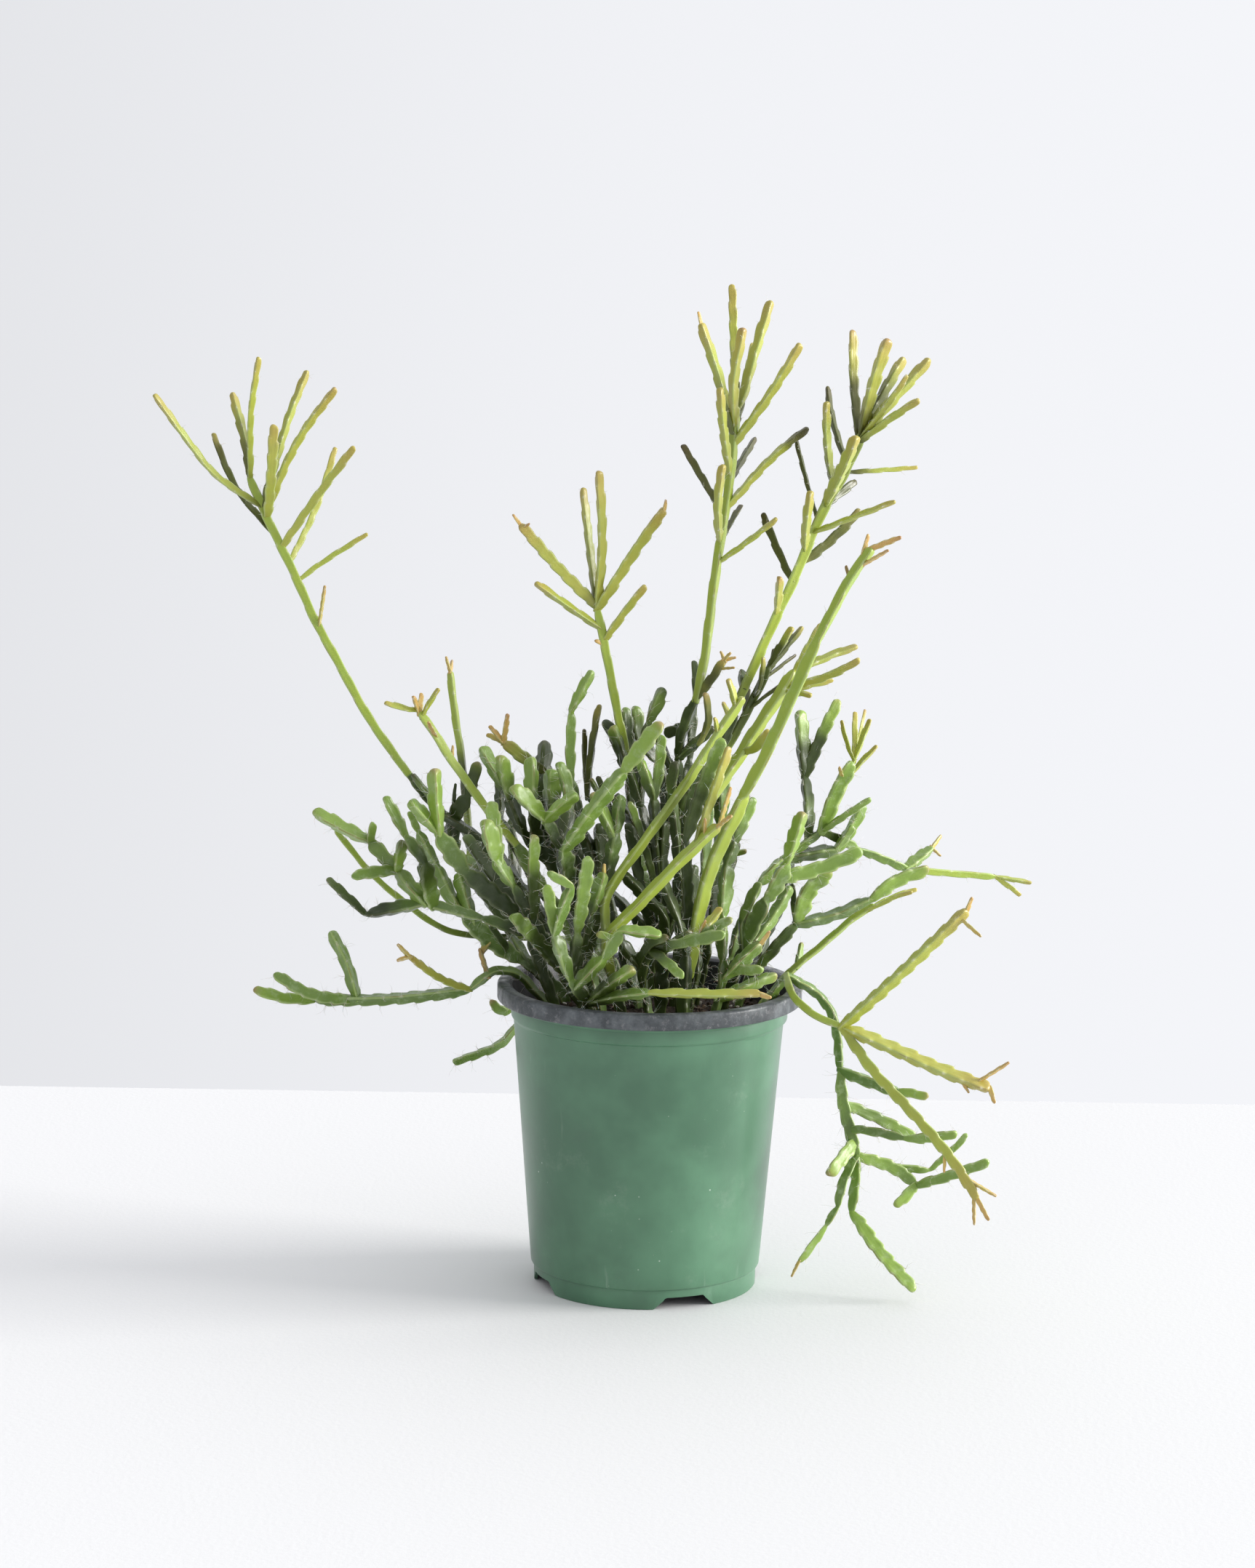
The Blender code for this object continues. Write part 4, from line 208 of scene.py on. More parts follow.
# Every rooted stem: its name and where it stands in the soil, then its segments in order. A segment has the
# number of the one that it grows from, with how far along that one unless it is the tip, then its width, with
# a letter for its kind unless it is old, and then the points that it passes after its joint
STEM_TABLE = """
left_wand -20,16
  - 6.2 -33,18,120.5; 0 6.2 -46,18,139.5; 1 5.7 -59.5,15,156.5; 2 3.9 -76,14,167; 3 3.6 -86,14,179.5;
  3@.75 2.6 -84.5,8,181;
  4 3.1w -100.5,14,200 -113,16,222 -120,18,234 -125.5,20,246 -131,22,257 -136.5,24,267.5 -144,26,284;
  6@.9 2.6y -155,18,284.5 -175.5,8,313.5; 6@.8 2.6y -151.5,34,281.5 -158,38,298;
  6@.98 3.6y -148.5,30,306 -150.5,32,313; 6@.99 2.6y -143,18,304.5 -139,8,327;
  6@.87 3.9y -135.5,16,283 -134,10,303.5; 6@.9 3.1y -130.5,30,304 -124,34,321;
  6@.88 3.1y -127.5,20,295.5 -112.5,12,316.5; 6@.77 3.1y -122,20,274.5 -106,14,296;
  6@.72 2.6y -121.5,32,270.5 -114.5,40,293.5; 6@.66 2.1y -118,24,254 -102,28,264;
  6@.51 1.5b -116,16,236.5 -116,12,247; 1 5.2 -70.5,20,149; 18 6.2 -71,18,162.5; 19 5.9 -65.5,16,173;
  20 5.2 -62,14,185.5; 19@.9 1.5 -69.5,14,177
left_pair -11,4
  - 6.2 -25,4,120.5; 0 6.2 -37,3,139.5; 1 5.2 -47.5,2,156.5;
  2 3.4w -59,0,170.5 -66.5,-2,181.5 -71.5,-2,188 -76.5,-2,196.5 -82.5,-2,204.5;
  3 2.6y -89,-4,206 -94,-6,208; 3@.99 2.1b -84,-6,210.5; 3@.99 2.1b -81.5,2,210.5; 3@.96 2.1y -75,-4,213;
  3@.81 1.8b -78.5,-9,202; 3@.64 1.3b -70.5,2,192
left_dark -31,14
  - 5.7 -40.5,15,108.5 -46,15,112.5; 0 7 -56.5,15,119 -66.5,14,129; 1 5.7 -72,13,137 -76,11,147;
  2 4.6 -80,9,154 -82.5,7,160; 3 3.1 -86,6,167.5; 1@.8 5.4 -66,12,136 -68.5,10,145; 0@.8 5.2 -50,22,120;
  6 5.2 -54.5,24,128 -59.5,24,133.5 -64,24,140;
  7 2.8w -65.5,22,159.5 -66.5,18,170 -67.5,14,183.5 -70,11,200.5 -72,10,217; 8 1.5b -73.5,8,222.5;
  8 1.5b -71.5,14,220.5; 1@.25 2.8 -51.5,9,119 -57,7,126.5; 1@.5 3.1b -60,9,116
left_reach -33,-6
  - 4.6 -42.5,-8,126; 0 4.4 -59,-10,132.5; 1 4.1 -79,-12,138; 2 6.2 -89,-12,149.5; 3 5.2 -98.5,-8,159;
  4 5.2 -109,-6,163.5 -119,-4,169; 4 3.4 -97.5,-12,166.5; 3 4.4 -104,-22,149; 3 4.6 -86.5,-20,161.5;
  2 5.2 -99.5,-8,133; 9 3.6 -114,-4,145; 2@.86 6.7 -79,-22,154.5; 11 4.6 -85,-26,164;
  12 4.1 -92.5,-28,178.5
left_thin -27,24
  - 3.6 -38,26,118.5;
  0 2.3w -64.5,24,119.5 -70.5,22,121 -78,20,124.5 -83.5,18,129 -88.5,16,133.5 -94.5,14,138.5 -101.5,12,146
    -108,10,154.5 -112,8,160;
  0 4.6 -47,30,132.5; 2 4.6 -60.5,34,148.5; 3 3.6 -72.5,36,160.5; 2 4.1 -50.5,34,152.5; 5 4.1 -47.5,36,173
left_low -37,4
  - 3.4 -49,3,111 -53.5,2,111.5 -57,1,109.5 -63.5,0,105; 0 4.4 -75.5,-2,103.5 -95,0,101 -118.5,4,99.5;
  0 2.8y -70,-8,108.5 -76,-18,114 -83.5,-30,122.5; 2 1.8b -87.5,-32,127.5; 2 1.8b -87.5,-34,122;
  1@.73 4.6 -107.5,6,112 -113.5,6,124; 1@.78 4.4 -120,-8,104 -132,-12,112;
  1@.97 4.1 -129,-4,101.5 -139.5,-8,105.5; 0@.77 2.1b -60,10,117
left_front -20,-20
  - 6.2 -31,-26,118.5; 0 6.7 -45,-30,136.5; 1 7 -64,-34,153.5; 2 7.2 -73.5,-37,167.5; 3 5.2 -83,-42,179.5;
  3@.95 5.4 -74.5,-44,191; 0@.9 4.6 -47.5,-38,149.5; 6 5.2 -53.5,-42,159.5; 7 6.7 -57,-46,174;
  7@.85 5.2 -55.5,-32,178; 0@.97 5.7 -47.5,-50,141.5; 1@.8 4.6 -65,-26,165; 6@.6 4.6 -40.5,-40,168
left_crown -8,18
  - 6.2 -20,16,120.5; 0 6.2 -29,14,140.5; 1 6.2 -39.5,14,165; 2 5.7 -38.5,16,180.5;
  3 4.6y -45,14,185.5 -53,12,192; 4 2.3b -58,10,198; 4 2.3b -59,16,194; 4 2.3b -51.5,10,202.5;
  1 6.2 -45,6,160; 8 5.7 -50.5,4,173.5; 9 5.4 -60.5,4,191.5; 9@.93 5.7 -53.5,-4,189.5;
  8@.7 5.2 -42,-6,172.5; 12 5.7 -42.5,-8,190; 2@.95 6.2 -38.5,24,191; 2@.5 6.7 -35.5,-2,184.5;
  0@.9 5.2 -37,24,132.5; 16 4.6 -54,26,161.5; 17 4.1 -54.5,28,177.5; 0 5.2 -25.5,10,144.5;
  19 5.2 -27,8,157
centre_left -17,-10
  - 6.2 -23,-14,120.5; 0 5.7 -28,-18,140.5; 1 4.6 -32,-22,160.5; 2 4.6 -37,-26,170.5;
  3 6.2 -48.5,-34,183.5; 3 5.4 -26,-32,181; 2 4.6 -29,-14,172; 1@.9 6.2 -30,-36,162; 7 5.9 -10,-46,191.5;
  8 5.9 2.5,-54,209.5; 2@.6 4.9 -29.5,-8,177.5 -33,-10,188.5; 0@.93 5.2 -17,-20,142.5;
  11 5.7 -12.5,-22,166; 12@.9 4.6 -21,-26,180.5; 12 5.2 -11,-20,179
centre_spire -4,8
  - 5.7 -9.5,7,120; 0 5.7 -17,6,142.5; 1 5.2 -24.5,5,162; 2 3.6 -28.5,4,180;
  3 3.9 -29.5,4,189.5 -29,4,204; 4 4.1 -21.5,0,219.5; 1@.9 5.2 -12.5,12,162.5; 6 3.4 -22.5,16,172;
  7 2.3y -24,20,196; 7 2.8y -18.5,12,206; 6 2.3 -21.5,8,180; 6 2.6 -19,14,180; 2@.7 4.6 -32.5,-4,172;
  1 5.7 -18.5,2,165
mid_wand 2,24
  - 5.7 .5,24,121.5; 0 5.7 -3.5,22,145; 1 5.2 -7.5,20,165.5; 2 4.1 -8.5,18,184.5;
  3 3.1w -12,14,198.5 -15.5,10,216.5 -18,8,229 -20.5,8,241; 4 4.1y -35,2,256 -47.5,-4,271;
  5 1.5b -50,-5,274.5; 5@.96 1.3b -44,-6,271.5; 4 3.1y -26,14,282.5; 4 3.6y -19,2,264.5 -20.5,-4,290;
  4@.99 4.1y -4,2,267.5 2.5,-4,277; 10 1.5b 3,-6,280.5; 4@.87 3.1y -31.5,2,242.5 -42,-2,250.5;
  4@.79 3.1y -3.5,4,249.5; 4@.77 2.1b -21,6,229.5; 3@.9 4.9 -17.5,22,199; 3@.75 4.6 -14.5,10,198.5;
  3@.95 4.9 -10,20,204; 1 5.2 6,30,159.5; 18 4.6 3,32,182; 19 5.2 -4.5,28,190 -6.5,27,203.5;
  2@.8 4.6 -13,6,174; 0 4.6 -16,30,136; 22 4.6 -25.5,32,156; 23 4.1 -30,32,177
centre 4,-4
  - 5.7 4.5,-4,121.5; 0 5.7 3.5,-4,144.5; 1 4.1 -4,-4,173; 2 4.1 -8.5,-2,186; 1@.9 4.6 .5,-12,176.5;
  4 4.6 -4,-16,190.5; 4 4.1 2.5,-10,188.5 3,-12,199; 0@.95 4.1 11,-12,141; 7 4.1 7,-18,179.5;
  8 4.4 8.5,-22,191.5; 2 4.6 -4,6,189; 10 4.1 -1.5,4,201; 11 5.2 3.5,4,213.5; 1@.6 3.1 -8.5,-22,177;
  8@.4 4.6 18.5,-6,186.5; 0@.9 4.4 -3,-10,142; 15 4.4 -8.5,-14,168;
  0@.8 4.6 5.5,-15,133.5 -2.5,-17,143.5 -10,-18,151; 1 4.6 4.5,-8,168
tall_wand 9,10
  - 5.7 11,10,121; 0 5.2 10.5,9,143; 1 4.6 9,8,165.5; 2 4.1 9,6,188; 3 4.1 10.5,5,199.5 15,3,209.5;
  4 3.6w 18,3,225.5 20,3,245.5 22.5,3,265.5 25.5,3,288.5 27,3,310.5; 4@.5 4.9 9.5,14,198 3,16,195.5;
  3 2.6 15.5,-2,194; 7 2.8y 20.5,-4,203 17.5,-8,213.5; 4@.97 3.6 14,12,222;
  4@.98 3.6y 20.5,0,217 24.5,-3,224.5; 10 1.5b 23,-2,227.5; 10 1.5b 26.5,-6,227.5; 10 1.5b 28.5,-3,225.5;
  10@.8 1.3b 28,-8,222.5; 5@.99 3.1y 26,14,331 25,18,354; 5@.95 3.9y 25.5,-8,320.5 28.5,-12,340.5;
  5@.92 3.9y 20.5,-2,323.5 14,-6,341.5; 17 1.5b 13,-7,345.5; 5@.98 4.1y 35,6,337.5 38.5,8,349;
  5@.95 3.1y 30,16,319.5 33,22,333.5; 5@.89 3.6y 42,-8,323.5 48,-14,335.5;
  5@.78 3.4y 22,-8,306.5 21,-14,320; 5@.55 3.4y 20,-8,279 22.5,-12,293.5;
  5@.64 2.8y 14.5,10,288 8.5,14,298; 5@.67 3.1y 42,8,297 52.5,8,305; 5@.76 2.6y 34.5,24,300;
  5@.55 2.3y 30,20,276.5; 5@.48 2.3y 32.5,-4,266.5 41.5,-10,275; 2@.9 4.6 13,18,185.5; 29 3.6 14,20,205.5;
  1@.6 4.1 13.5,16,143; 2 6.2 12,3,175 18.5,2,186; 3@.6 3.6 1.5,4,195.5; 3 4.1 21.5,6,199.5
right_wand 17,14
  - 5.7 21,14,121; 0 5.2 22.5,12,142; 1 4.6 24,10,165; 2 4.1 23,8,190.5; 3 3.9 28.5,6,209;
  4 3.6w 36.5,5,228 42,5,241 47,5,252 51,5,262.5 55.5,5,274 60.5,5,284 65,5,292 70,4,304.5;
  5@.05 4.1 30,12,219; 5@.97 3.6y 67,14,320 66.5,18,339; 5@.99 4.6y 72.5,-4,322.5 77.5,-8,337.5;
  5@.99 4.1y 77.5,8,319 84.5,12,330; 5@.97 2.3y 79,-10,316.5 84,-14,325.5;
  5@.99 4.1y 81,0,317 92.5,-2,330.5; 5@.96 3.1y 80.5,-6,311.5 88.5,-12,317;
  5@.88 2.6y 59.5,14,307 58.5,20,319; 5@.79 3.1y 57,-2,298 57,-6,315.5;
  5@.73 4.4y 63.5,-10,293 67,-16,304.5; 5@.85 1.8y 78,10,290.5 90.5,14,291.5; 5@.72 3.1y 69,18,286;
  5@.67 1.8y 51,10,287.5 47,14,302.5; 5@.56 3.4y 50.5,-8,273 52,-12,285;
  5@.62 2.3y 66.5,-4,275 81.5,-8,281.5; 5@.51 3.6y 60.5,10,265 70.5,14,276.5;
  5@.45 3.1y 41.5,12,263 36.5,16,274.5; 5@.32 3.1y 42,-8,254.5; 2@.9 4.4 21,22,180; 1@.8 4.6 26.5,18,152;
  25 3.6 30,20,161.5; 25@.9 2.6 34,14,154; 26@.9 3.4 34.5,24,172.5; 0 4.6 25.5,24,135.5;
  29 4.1 31,30,154.5
second_wand 14,-8
  - 5.2 17,-8,121; 0 4.6 18.5,-7,142; 1 4.4 19.5,-6,173.5;
  2 4.6w 24,-4,181 30.5,-3,190.5 36.5,-2,200.5 43,-2,210.5 49,-2,221; 3 3.4y 53.5,-6,229.5 57.5,-10,238.5;
  3@.97 3.1y 59.5,6,225 71.5,8,228.5; 3@.9 3.1y 59,-8,218.5 71,-14,227; 3@.84 2.6y 63,4,217;
  3@.86 2.6y 55,-8,213; 3@.41 3.6y 36.5,-10,194.5 40,-12,201.5;
  1@.95 3.1w 23.5,12,181.5 29.5,12,195.5 35,12,208 40.5,12,220.5; 10@.86 2.1y 38,4,215 38.5,2,225;
  10@.94 2.1y 41.5,16,219 42.5,18,226; 10@.98 3.1y 48.5,8,235; 10@.97 2.6y 52.5,18,234;
  10@.93 1.5y 50.5,22,223.5; 10@.8 1.5y 46,6,215.5; 10@.78 2.1y 34.5,20,211; 0@.6 3.6 8,-6,132.5;
  18 3.6 7.5,-8,147; 0 4.4 14,-10,138 15,-11,153
front_wand 11,-24
  - 5.2 13,-26,117; 0 4.9w 19,-36,153 31,-43,183; 1 4.4w 37.5,-46,196 46.5,-50,218 54.5,-53,238;
  2 3.6w 64.5,-55,258.5 72,-56,270; 3@.78 1.8b 70.5,-54,274.5; 3 2.1b 81.5,-58,274; 3@.78 1.5b 77,-62,270;
  3@.64 1.5b 63.5,-52,263.5; 0 4.6 11.5,-30,165; 8 5.2 15.5,-30,179 23.5,-34,201.5; 0@.8 3.6 13,-20,140;
  10 3.4 11.5,-18,149
diagonal_wands -9,-27
  - 4.1 -13.5,-31,117;
  0 3.4w -16.5,-33,138 -15,-33,147.5 -2.5,-31,165.5 11,-28,184.5 20.5,-26,199.5 30.5,-24,214.5;
  1@.96 2.8y 25,-26,221; 1@.92 2.1y 23.5,-20,212; 1@.86 1.8y 20.5,-30,208;
  0@.9 4.1w -16.5,-39,129.5 -12,-42,136.5 -2.5,-44,147 7.5,-46,158.5 18,-48,169.5 22.5,-48,173.5;
  5 1.8b 26,-52,187.5; 5@.97 1.8b 26.5,-54,178; 5@.91 1.5b 17.5,-48,176;
  5@.85 3.4y 20.5,-42,184.5 25.5,-40,199.5
front_fan -20,-34
  - 3.6 -21.5,-40,108.5; 0 4.6 -27.5,-48,118.5; 1 5.2 -33,-50,134.5; 2 4.4 -36,-50,152;
  2 4.4 -27.5,-56,152.5; 4 3.6 -35.5,-60,158; 0@.97 4.4 -26.5,-40,118.5; 6 4.6 -25.5,-42,134;
  7 5.2 -22,-44,161; 6 4.6 -21,-36,139; 9 5.2 -16.5,-36,154; 0 5.2 -6,-56,124.5; 0 4.4 -.5,-58,116.5;
  12 3.6y 18,-62,117 37.5,-62,117.5; 13 2.1b 41,-63,116.5; 1@.7 5.7 -16,-52,127; 15 4.6 -10.5,-56,137.5;
  10 1.5b -16.5,-36,157; 16 4.6 3.5,-58,136.5
front_low 1,-36
  - 3.1 -3.5,-38,121.5; 0 4.6 -10.5,-42,132; 1 3.4 -19,-44,135; 0 3.6 -2.5,-46,132 6,-50,135;
  3@.5 4.1 8.5,-58,124; 0@.7 3.9 -1,-42,127 16.5,-52,135.5 27.5,-56,143; 5@.45 4.1 14,-46,136.5;
  5@.6 4.6 25,-60,138.5; 5@.7 3.6y 24,-46,144.5; 5@.7 1.5b 18.5,-56,142
right_upright 12,-34
  - 5.2 12.5,-34,125.5; 0 4.6 9.5,-36,138; 1 4.4 3.5,-34,152.5
right_small 22,-33
  - 3.4 25,-34,116.5; 0 5.2 38,-38,131; 1@.3 4.4 39,-40,122; 0@.9 3.9 25,-36,124; 1 1.8b 41,-39,135.5;
  0@.6 4.6 36,-36,116.5 44,-34,119; 3 4.6 25,-31,138.5; 6 5.9 26,-30,157; 7 5.2 28.5,-28,164;
  8 4.1 32,-25,172.5 35,-24,179.5
right_front 25,-15
  - 5.2 32.5,-20,125; 0 6.2 40,-26,143.5; 1 6.2 46.5,-32,158; 2 5.2 51.5,-38,177;
  0@.8 4.9 43.5,-10,135.5 49,-8,145.5; 2@.6 5.2 60,-26,156 73,-24,161.5; 0 4.4 32,-22,135.5;
  6 4.4 38,-18,148.5
right_crown 25,3
  - 4.6 29,5,117; 0 4.6 32.5,6,131; 1 4.1 38.5,8,143; 2 5.2 47.5,10,152; 3 3.6 60,12,161.5;
  4 5.4 65,10,177 70.5,8,187.5; 4 2.3w 66.5,20,170.5 72,24,185.5; 6 1.8y 69,22,192.5 67,20,200.5;
  6 2.3y 72,26,195 72,28,202.5; 6@.97 1.5y 76,34,202.5; 6@.98 2.3y 77.5,24,200.5; 6@.78 2.1y 80,20,191.5;
  5@.75 1.5b 65.5,2,186.5; 4 2.6 69.5,4,170 77,2,175.5; 3@.97 5.2 66.5,16,154.5; 14 4.4 75.5,16,171;
  14@.95 3.6 71,8,164.5; 4@.63 4.4 54.5,26,179; 17 5.4 52.5,30,202.5; 17 4.4 66.5,34,206; 4 3.4 74,26,153;
  20 3.4 83.5,32,149 92.5,38,144; 21 2.6w 109,46,141 117,50,140 126.5,54,138.5; 22 2.1y 140,56,136;
  22 2.1y 136.5,60,130.5; 21 4.6 102.5,48,150; 25 1.8b 106,52,154; 25 1.3b 106,50,146.5
right_reach 33,11
  - 4.6 38.5,12,111.5; 0 4.6 46,12,122 52,12,128; 1 2.8 50.5,18,141.5; 1 6.7 56,10,142 64,8,148.5;
  1 4.9 64.5,14,130.5 78.5,16,136.5; 4 5.2 87,18,143.5 99.5,20,147.5; 0@.7 4.1 42,20,121.5;
  6 4.1 49.5,28,140; 7 3.6 51,30,158
olive_wand 40,1
  - 2.6w 49,0,112 62.5,-2,124.5 71.5,-4,133.5 79,-5,138.5; 0@.95 2.1y 86.5,-2,142 94,0,143.5;
  0@.9 1.8y 85.5,-10,143 91.5,-12,145; 0@.35 2.6 54,6,122.5
trailing 38,-14
  - 3.6 47,-13,113.5; 0 2.8w 48.5,-30,110 53.5,-38,106.5 58.5,-42,104 65,-44,102.5;
  1 4.6y 76.5,-50,115 91,-54,130.5 106,-56,146.5; 2 1.8b 107.5,-57,151; 2@.94 1.5b 111,-58,137.5;
  1 5.2y 80,-48,97 91.5,-52,92.5 106,-56,87.5 115.5,-58,84.5; 5@.9 1.5b 121.5,-60,94.5; 5 1.8b 117,-60,80;
  5@.8 1.3b 108.5,-56,82.5;
  1 3.9y 74.5,-46,89.5 81,-48,83 90.5,-50,73 100,-52,63 108,-54,52.5 112.5,-55,45; 9@.88 1.5b 119,-58,47;
  9 1.8b 116.5,-57,38; 9@.97 1.5b 112,-52,35; 9@.73 1.3b 101,-54,54;
  0 3.6 56.5,-9,108 61.5,-8,102.5 65,-8,96.5 66,-8,90 67,-8,79;
  14 4.4 67.5,-9,69.5 70.5,-9,58 73.5,-10,48; 14 4.4 77.5,-14,76 87,-18,74; 16 3.6 97.5,-20,72.5;
  15@.39 4.4 78.5,-4,61.5 94.5,0,52.5; 15@.68 3.6 79.5,-14,58.5 89.5,-18,57;
  19 4.1 98.5,-22,58.5 107.5,-24,60.5; 15@.84 5.2 67,-18,49 62.5,-22,44; 15 4.6 87,-6,43 94.5,-6,37;
  22@.5 3.4 99.5,-2,41.5; 23 2.8 108,0,48 113,0,54.5; 22 4.1 106,-12,42 120,-14,48; 22 4.1 87,-10,30;
  15 3.6 68,-16,41 66.5,-20,32; 27 2.6 62.5,-22,26; 28 3.1 53,-26,13.5; 29 1.3b 50.5,-24,7.5;
  15 4.1 73.5,-10,38.5 72,-12,28.5; 31 5.2 80.5,-20,17 94,-26,3.5
back_trail -22,36
  - 3.6 -27,42,110.5 -32,50,113.5 -37,57,110.5; 0 3.9 -52,52,85.5 -57.5,46,91;
  0 3.9 -39,60,96.5 -41,60,88.5; 2 3.6 -53.5,50,74 -62.5,44,71.5 -71,40,69; 2 3.9 -33,64,74.5
"""


def read_stems():
    """The table as {stem: (root, rows)}, each row being parent's number, share, kind, width and points."""
    kinds = {kind[0]: kind for kind in SHAPES}
    stems = {}
    for block in re.split(r"\n(?=\w)", STEM_TABLE.strip()):
        title, segments = block.split("\n", 1)
        stem, *root = re.split("[ ,]", title)
        rows = []
        for cell in segments.split(";"):
            joint, size, *points = cell.split()
            parent, _, at = joint.partition("@")
            points = [tuple(map(float, p.split(","))) for p in points]
            rows.append((None if parent == "-" else int(parent), float(at or 1), kinds.get(size[-1], OLD),
                         float(size.rstrip("ywb")), *points))
        stems[stem] = (tuple(map(float, root)), rows)
    return stems


STEMS = read_stems()


def put(name, data):
    """A new object in the scene."""
    obj = bpy.data.objects.new(name, data)
    bpy.context.scene.collection.objects.link(obj)
    return obj


def unit(rows):
    """Every row scaled to length 1."""
    return rows / np.linalg.norm(rows, axis=1)[:, None]


def between(at, knots, rows):
    """The rows that belong to the knots, read off at other places."""
    return np.column_stack([np.interp(at, knots, column) for column in rows.T])


def smooth_route(points):
    """Evenly spaced points along a smooth curve through the given ones."""
    p = np.array(points, float)
    p = np.vstack([2 * p[0] - p[1], p, 2 * p[-1] - p[-2]])
    curve = [p[1]]
    for a, b, c, d in zip(p, p[1:], p[2:], p[3:]):
        for t in np.linspace(0, 1, CURVE_STEPS + 1)[1:]:
            curve.append((2 * b + (c - a) * t + (2 * a - 5 * b + 4 * c - d) * t**2
                          + (3 * b - a - 3 * c + d) * t**3) / 2)
    curve = np.array(curve)
    reach = np.r_[0, np.cumsum(np.linalg.norm(np.diff(curve, axis=0), axis=1))]
    count = max(FEWEST_STEPS, round(reach[-1] / ROUTE_SPACING))
    return between(np.linspace(0, reach[-1], count + 1), reach, curve)


def ease(t):
    """A smooth step from 0 to 1."""
    t = np.clip(t, 0, 1)
    return t * t * (3 - 2 * t)


class Segment:
    """One joint of a stem: a centre line with a width, growing from another segment or from the soil.

    lean is how far each point has bent away from the line as drawn, and now is where the points then lie. The
    solid is straight from ring to ring, so chords moves the points onto those straights.
    """

    def __init__(self, stem, number, row, parent, root):
        _, self.at, self.kind, self.width, *points = row
        self.stem, self.number, self.parent = stem, number, parent
        base = parent.point(self.at) if parent else np.array([*root, PEG_TOP])
        if parent and len(points) == 1:
            way = np.array(points[0]) - base
            lead = parent.heading(self.at) * np.linalg.norm(way) * LEAVING
            points = [base + way / 2 + lead, points[0]]
        self.line = smooth_route([base, *points])
        self.t = np.linspace(0, 1, len(self.line))
        self.lean = np.zeros_like(self.line)
        self.length = float(np.linalg.norm(np.diff(self.line, axis=0), axis=1).sum())
        rings = self.stations()
        to_rings = between(rings, self.t, np.eye(len(self.t)))
        self.chords = between(self.t, rings, np.eye(len(rings))) @ to_rings

    def stations(self):
        """Where the segment has its rings, from its joint to its tip."""
        if self.kind == BUD:
            return np.array([0, 1.0])
        bands = max(FEWEST_BANDS, round(self.length / SHAPES[self.kind].band))
        first = min(LONGEST_JOINT, JOINT_TAPER / self.length)
        last = 1 - min(LONGEST_TIP, TIP_TAPER / self.length)
        return np.r_[0, np.linspace(first, last, bands - 1), 1]

    def point(self, at):
        """The point at a share of the length."""
        return between(at, self.t, self.line)[0]

    def heading(self, at):
        """Which way the segment runs near a share of its length."""
        way = self.point(min(1, at + LOOK_AHEAD)) - self.point(at - LOOK_BACK)
        return way / np.linalg.norm(way)

    def girth(self, t):
        """Width along the segment as a share of its full width, before the notches."""
        shape = SHAPES[self.kind]
        rise = shape.waist + (1 - shape.waist) * ease(t * self.length / JOINT_TAPER)
        return rise * (1 - (1 - shape.tip) * (1 - ease((1 - t) * self.length / TIP_TAPER)))


def grow():
    """All segments, parents before their children, each starting on its parent's centre line."""
    segments = []
    for stem, (root, rows) in STEMS.items():
        first = len(segments)
        for row in rows:
            parent = None if row[0] is None else segments[first + row[0]]
            segments.append(Segment(stem, len(segments), row, parent, root))
    return segments


def place(segments):
    """Carry every segment with the point of its parent that it grows from."""
    for s in segments:
        s.now = s.chords @ (s.line + s.lean)
        if s.parent:
            s.now = s.now + between(s.at, s.parent.t, s.parent.now - s.parent.line)
    return np.vstack([s.now for s in segments])


def keep_off_pot(now, radius, rooted):
    """The way that points must move to stay off the lip, the wall, the soil and the surface below."""
    push = np.zeros_like(now)
    out = np.hypot(now[:, 0], now[:, 1])
    side = now[:, :2] / np.maximum(out, 1)[:, None]
    inner = COLLAR_RADIUS - LIP_WALL
    middle = np.array([(LIP_RADIUS + inner) / 2, POT_HEIGHT - LIP_DROP / 2])
    half = (LIP_RADIUS - inner) / 2
    apart = np.column_stack([out, now[:, 2]]) - middle
    past = np.maximum(abs(apart) - (half, LIP_DROP / 2), 0)
    distance = np.linalg.norm(past, axis=1)
    lack = np.maximum(0, radius + POT_CLEARANCE - distance)
    way = np.where(distance[:, None] > 0, past * np.sign(apart), apart)
    way /= np.maximum(np.linalg.norm(way, axis=1), 0.1)[:, None]
    push[:, :2] += (lack * way[:, 0])[:, None] * side
    push[:, 2] += lack * way[:, 1]
    low = now[:, 2] < POT_HEIGHT - LIP_DROP
    inside = out < middle[0]
    push[:, :2] -= (np.maximum(0, out + radius - PLANTED_RADIUS) * (low & inside))[:, None] * side
    push[:, :2] += (np.maximum(0, COLLAR_RADIUS + WALL_GAP + radius - out) * (low & ~inside))[:, None] * side
    surface = SOIL_TOP + LUMP_HEIGHT + SOIL_GAP
    push[:, 2] += np.maximum(0, surface + radius - now[:, 2]) * (inside & ~rooted)
    push[:, 2] += np.maximum(0, GROUND_CLEARANCE + radius - now[:, 2]) * ~inside
    return push


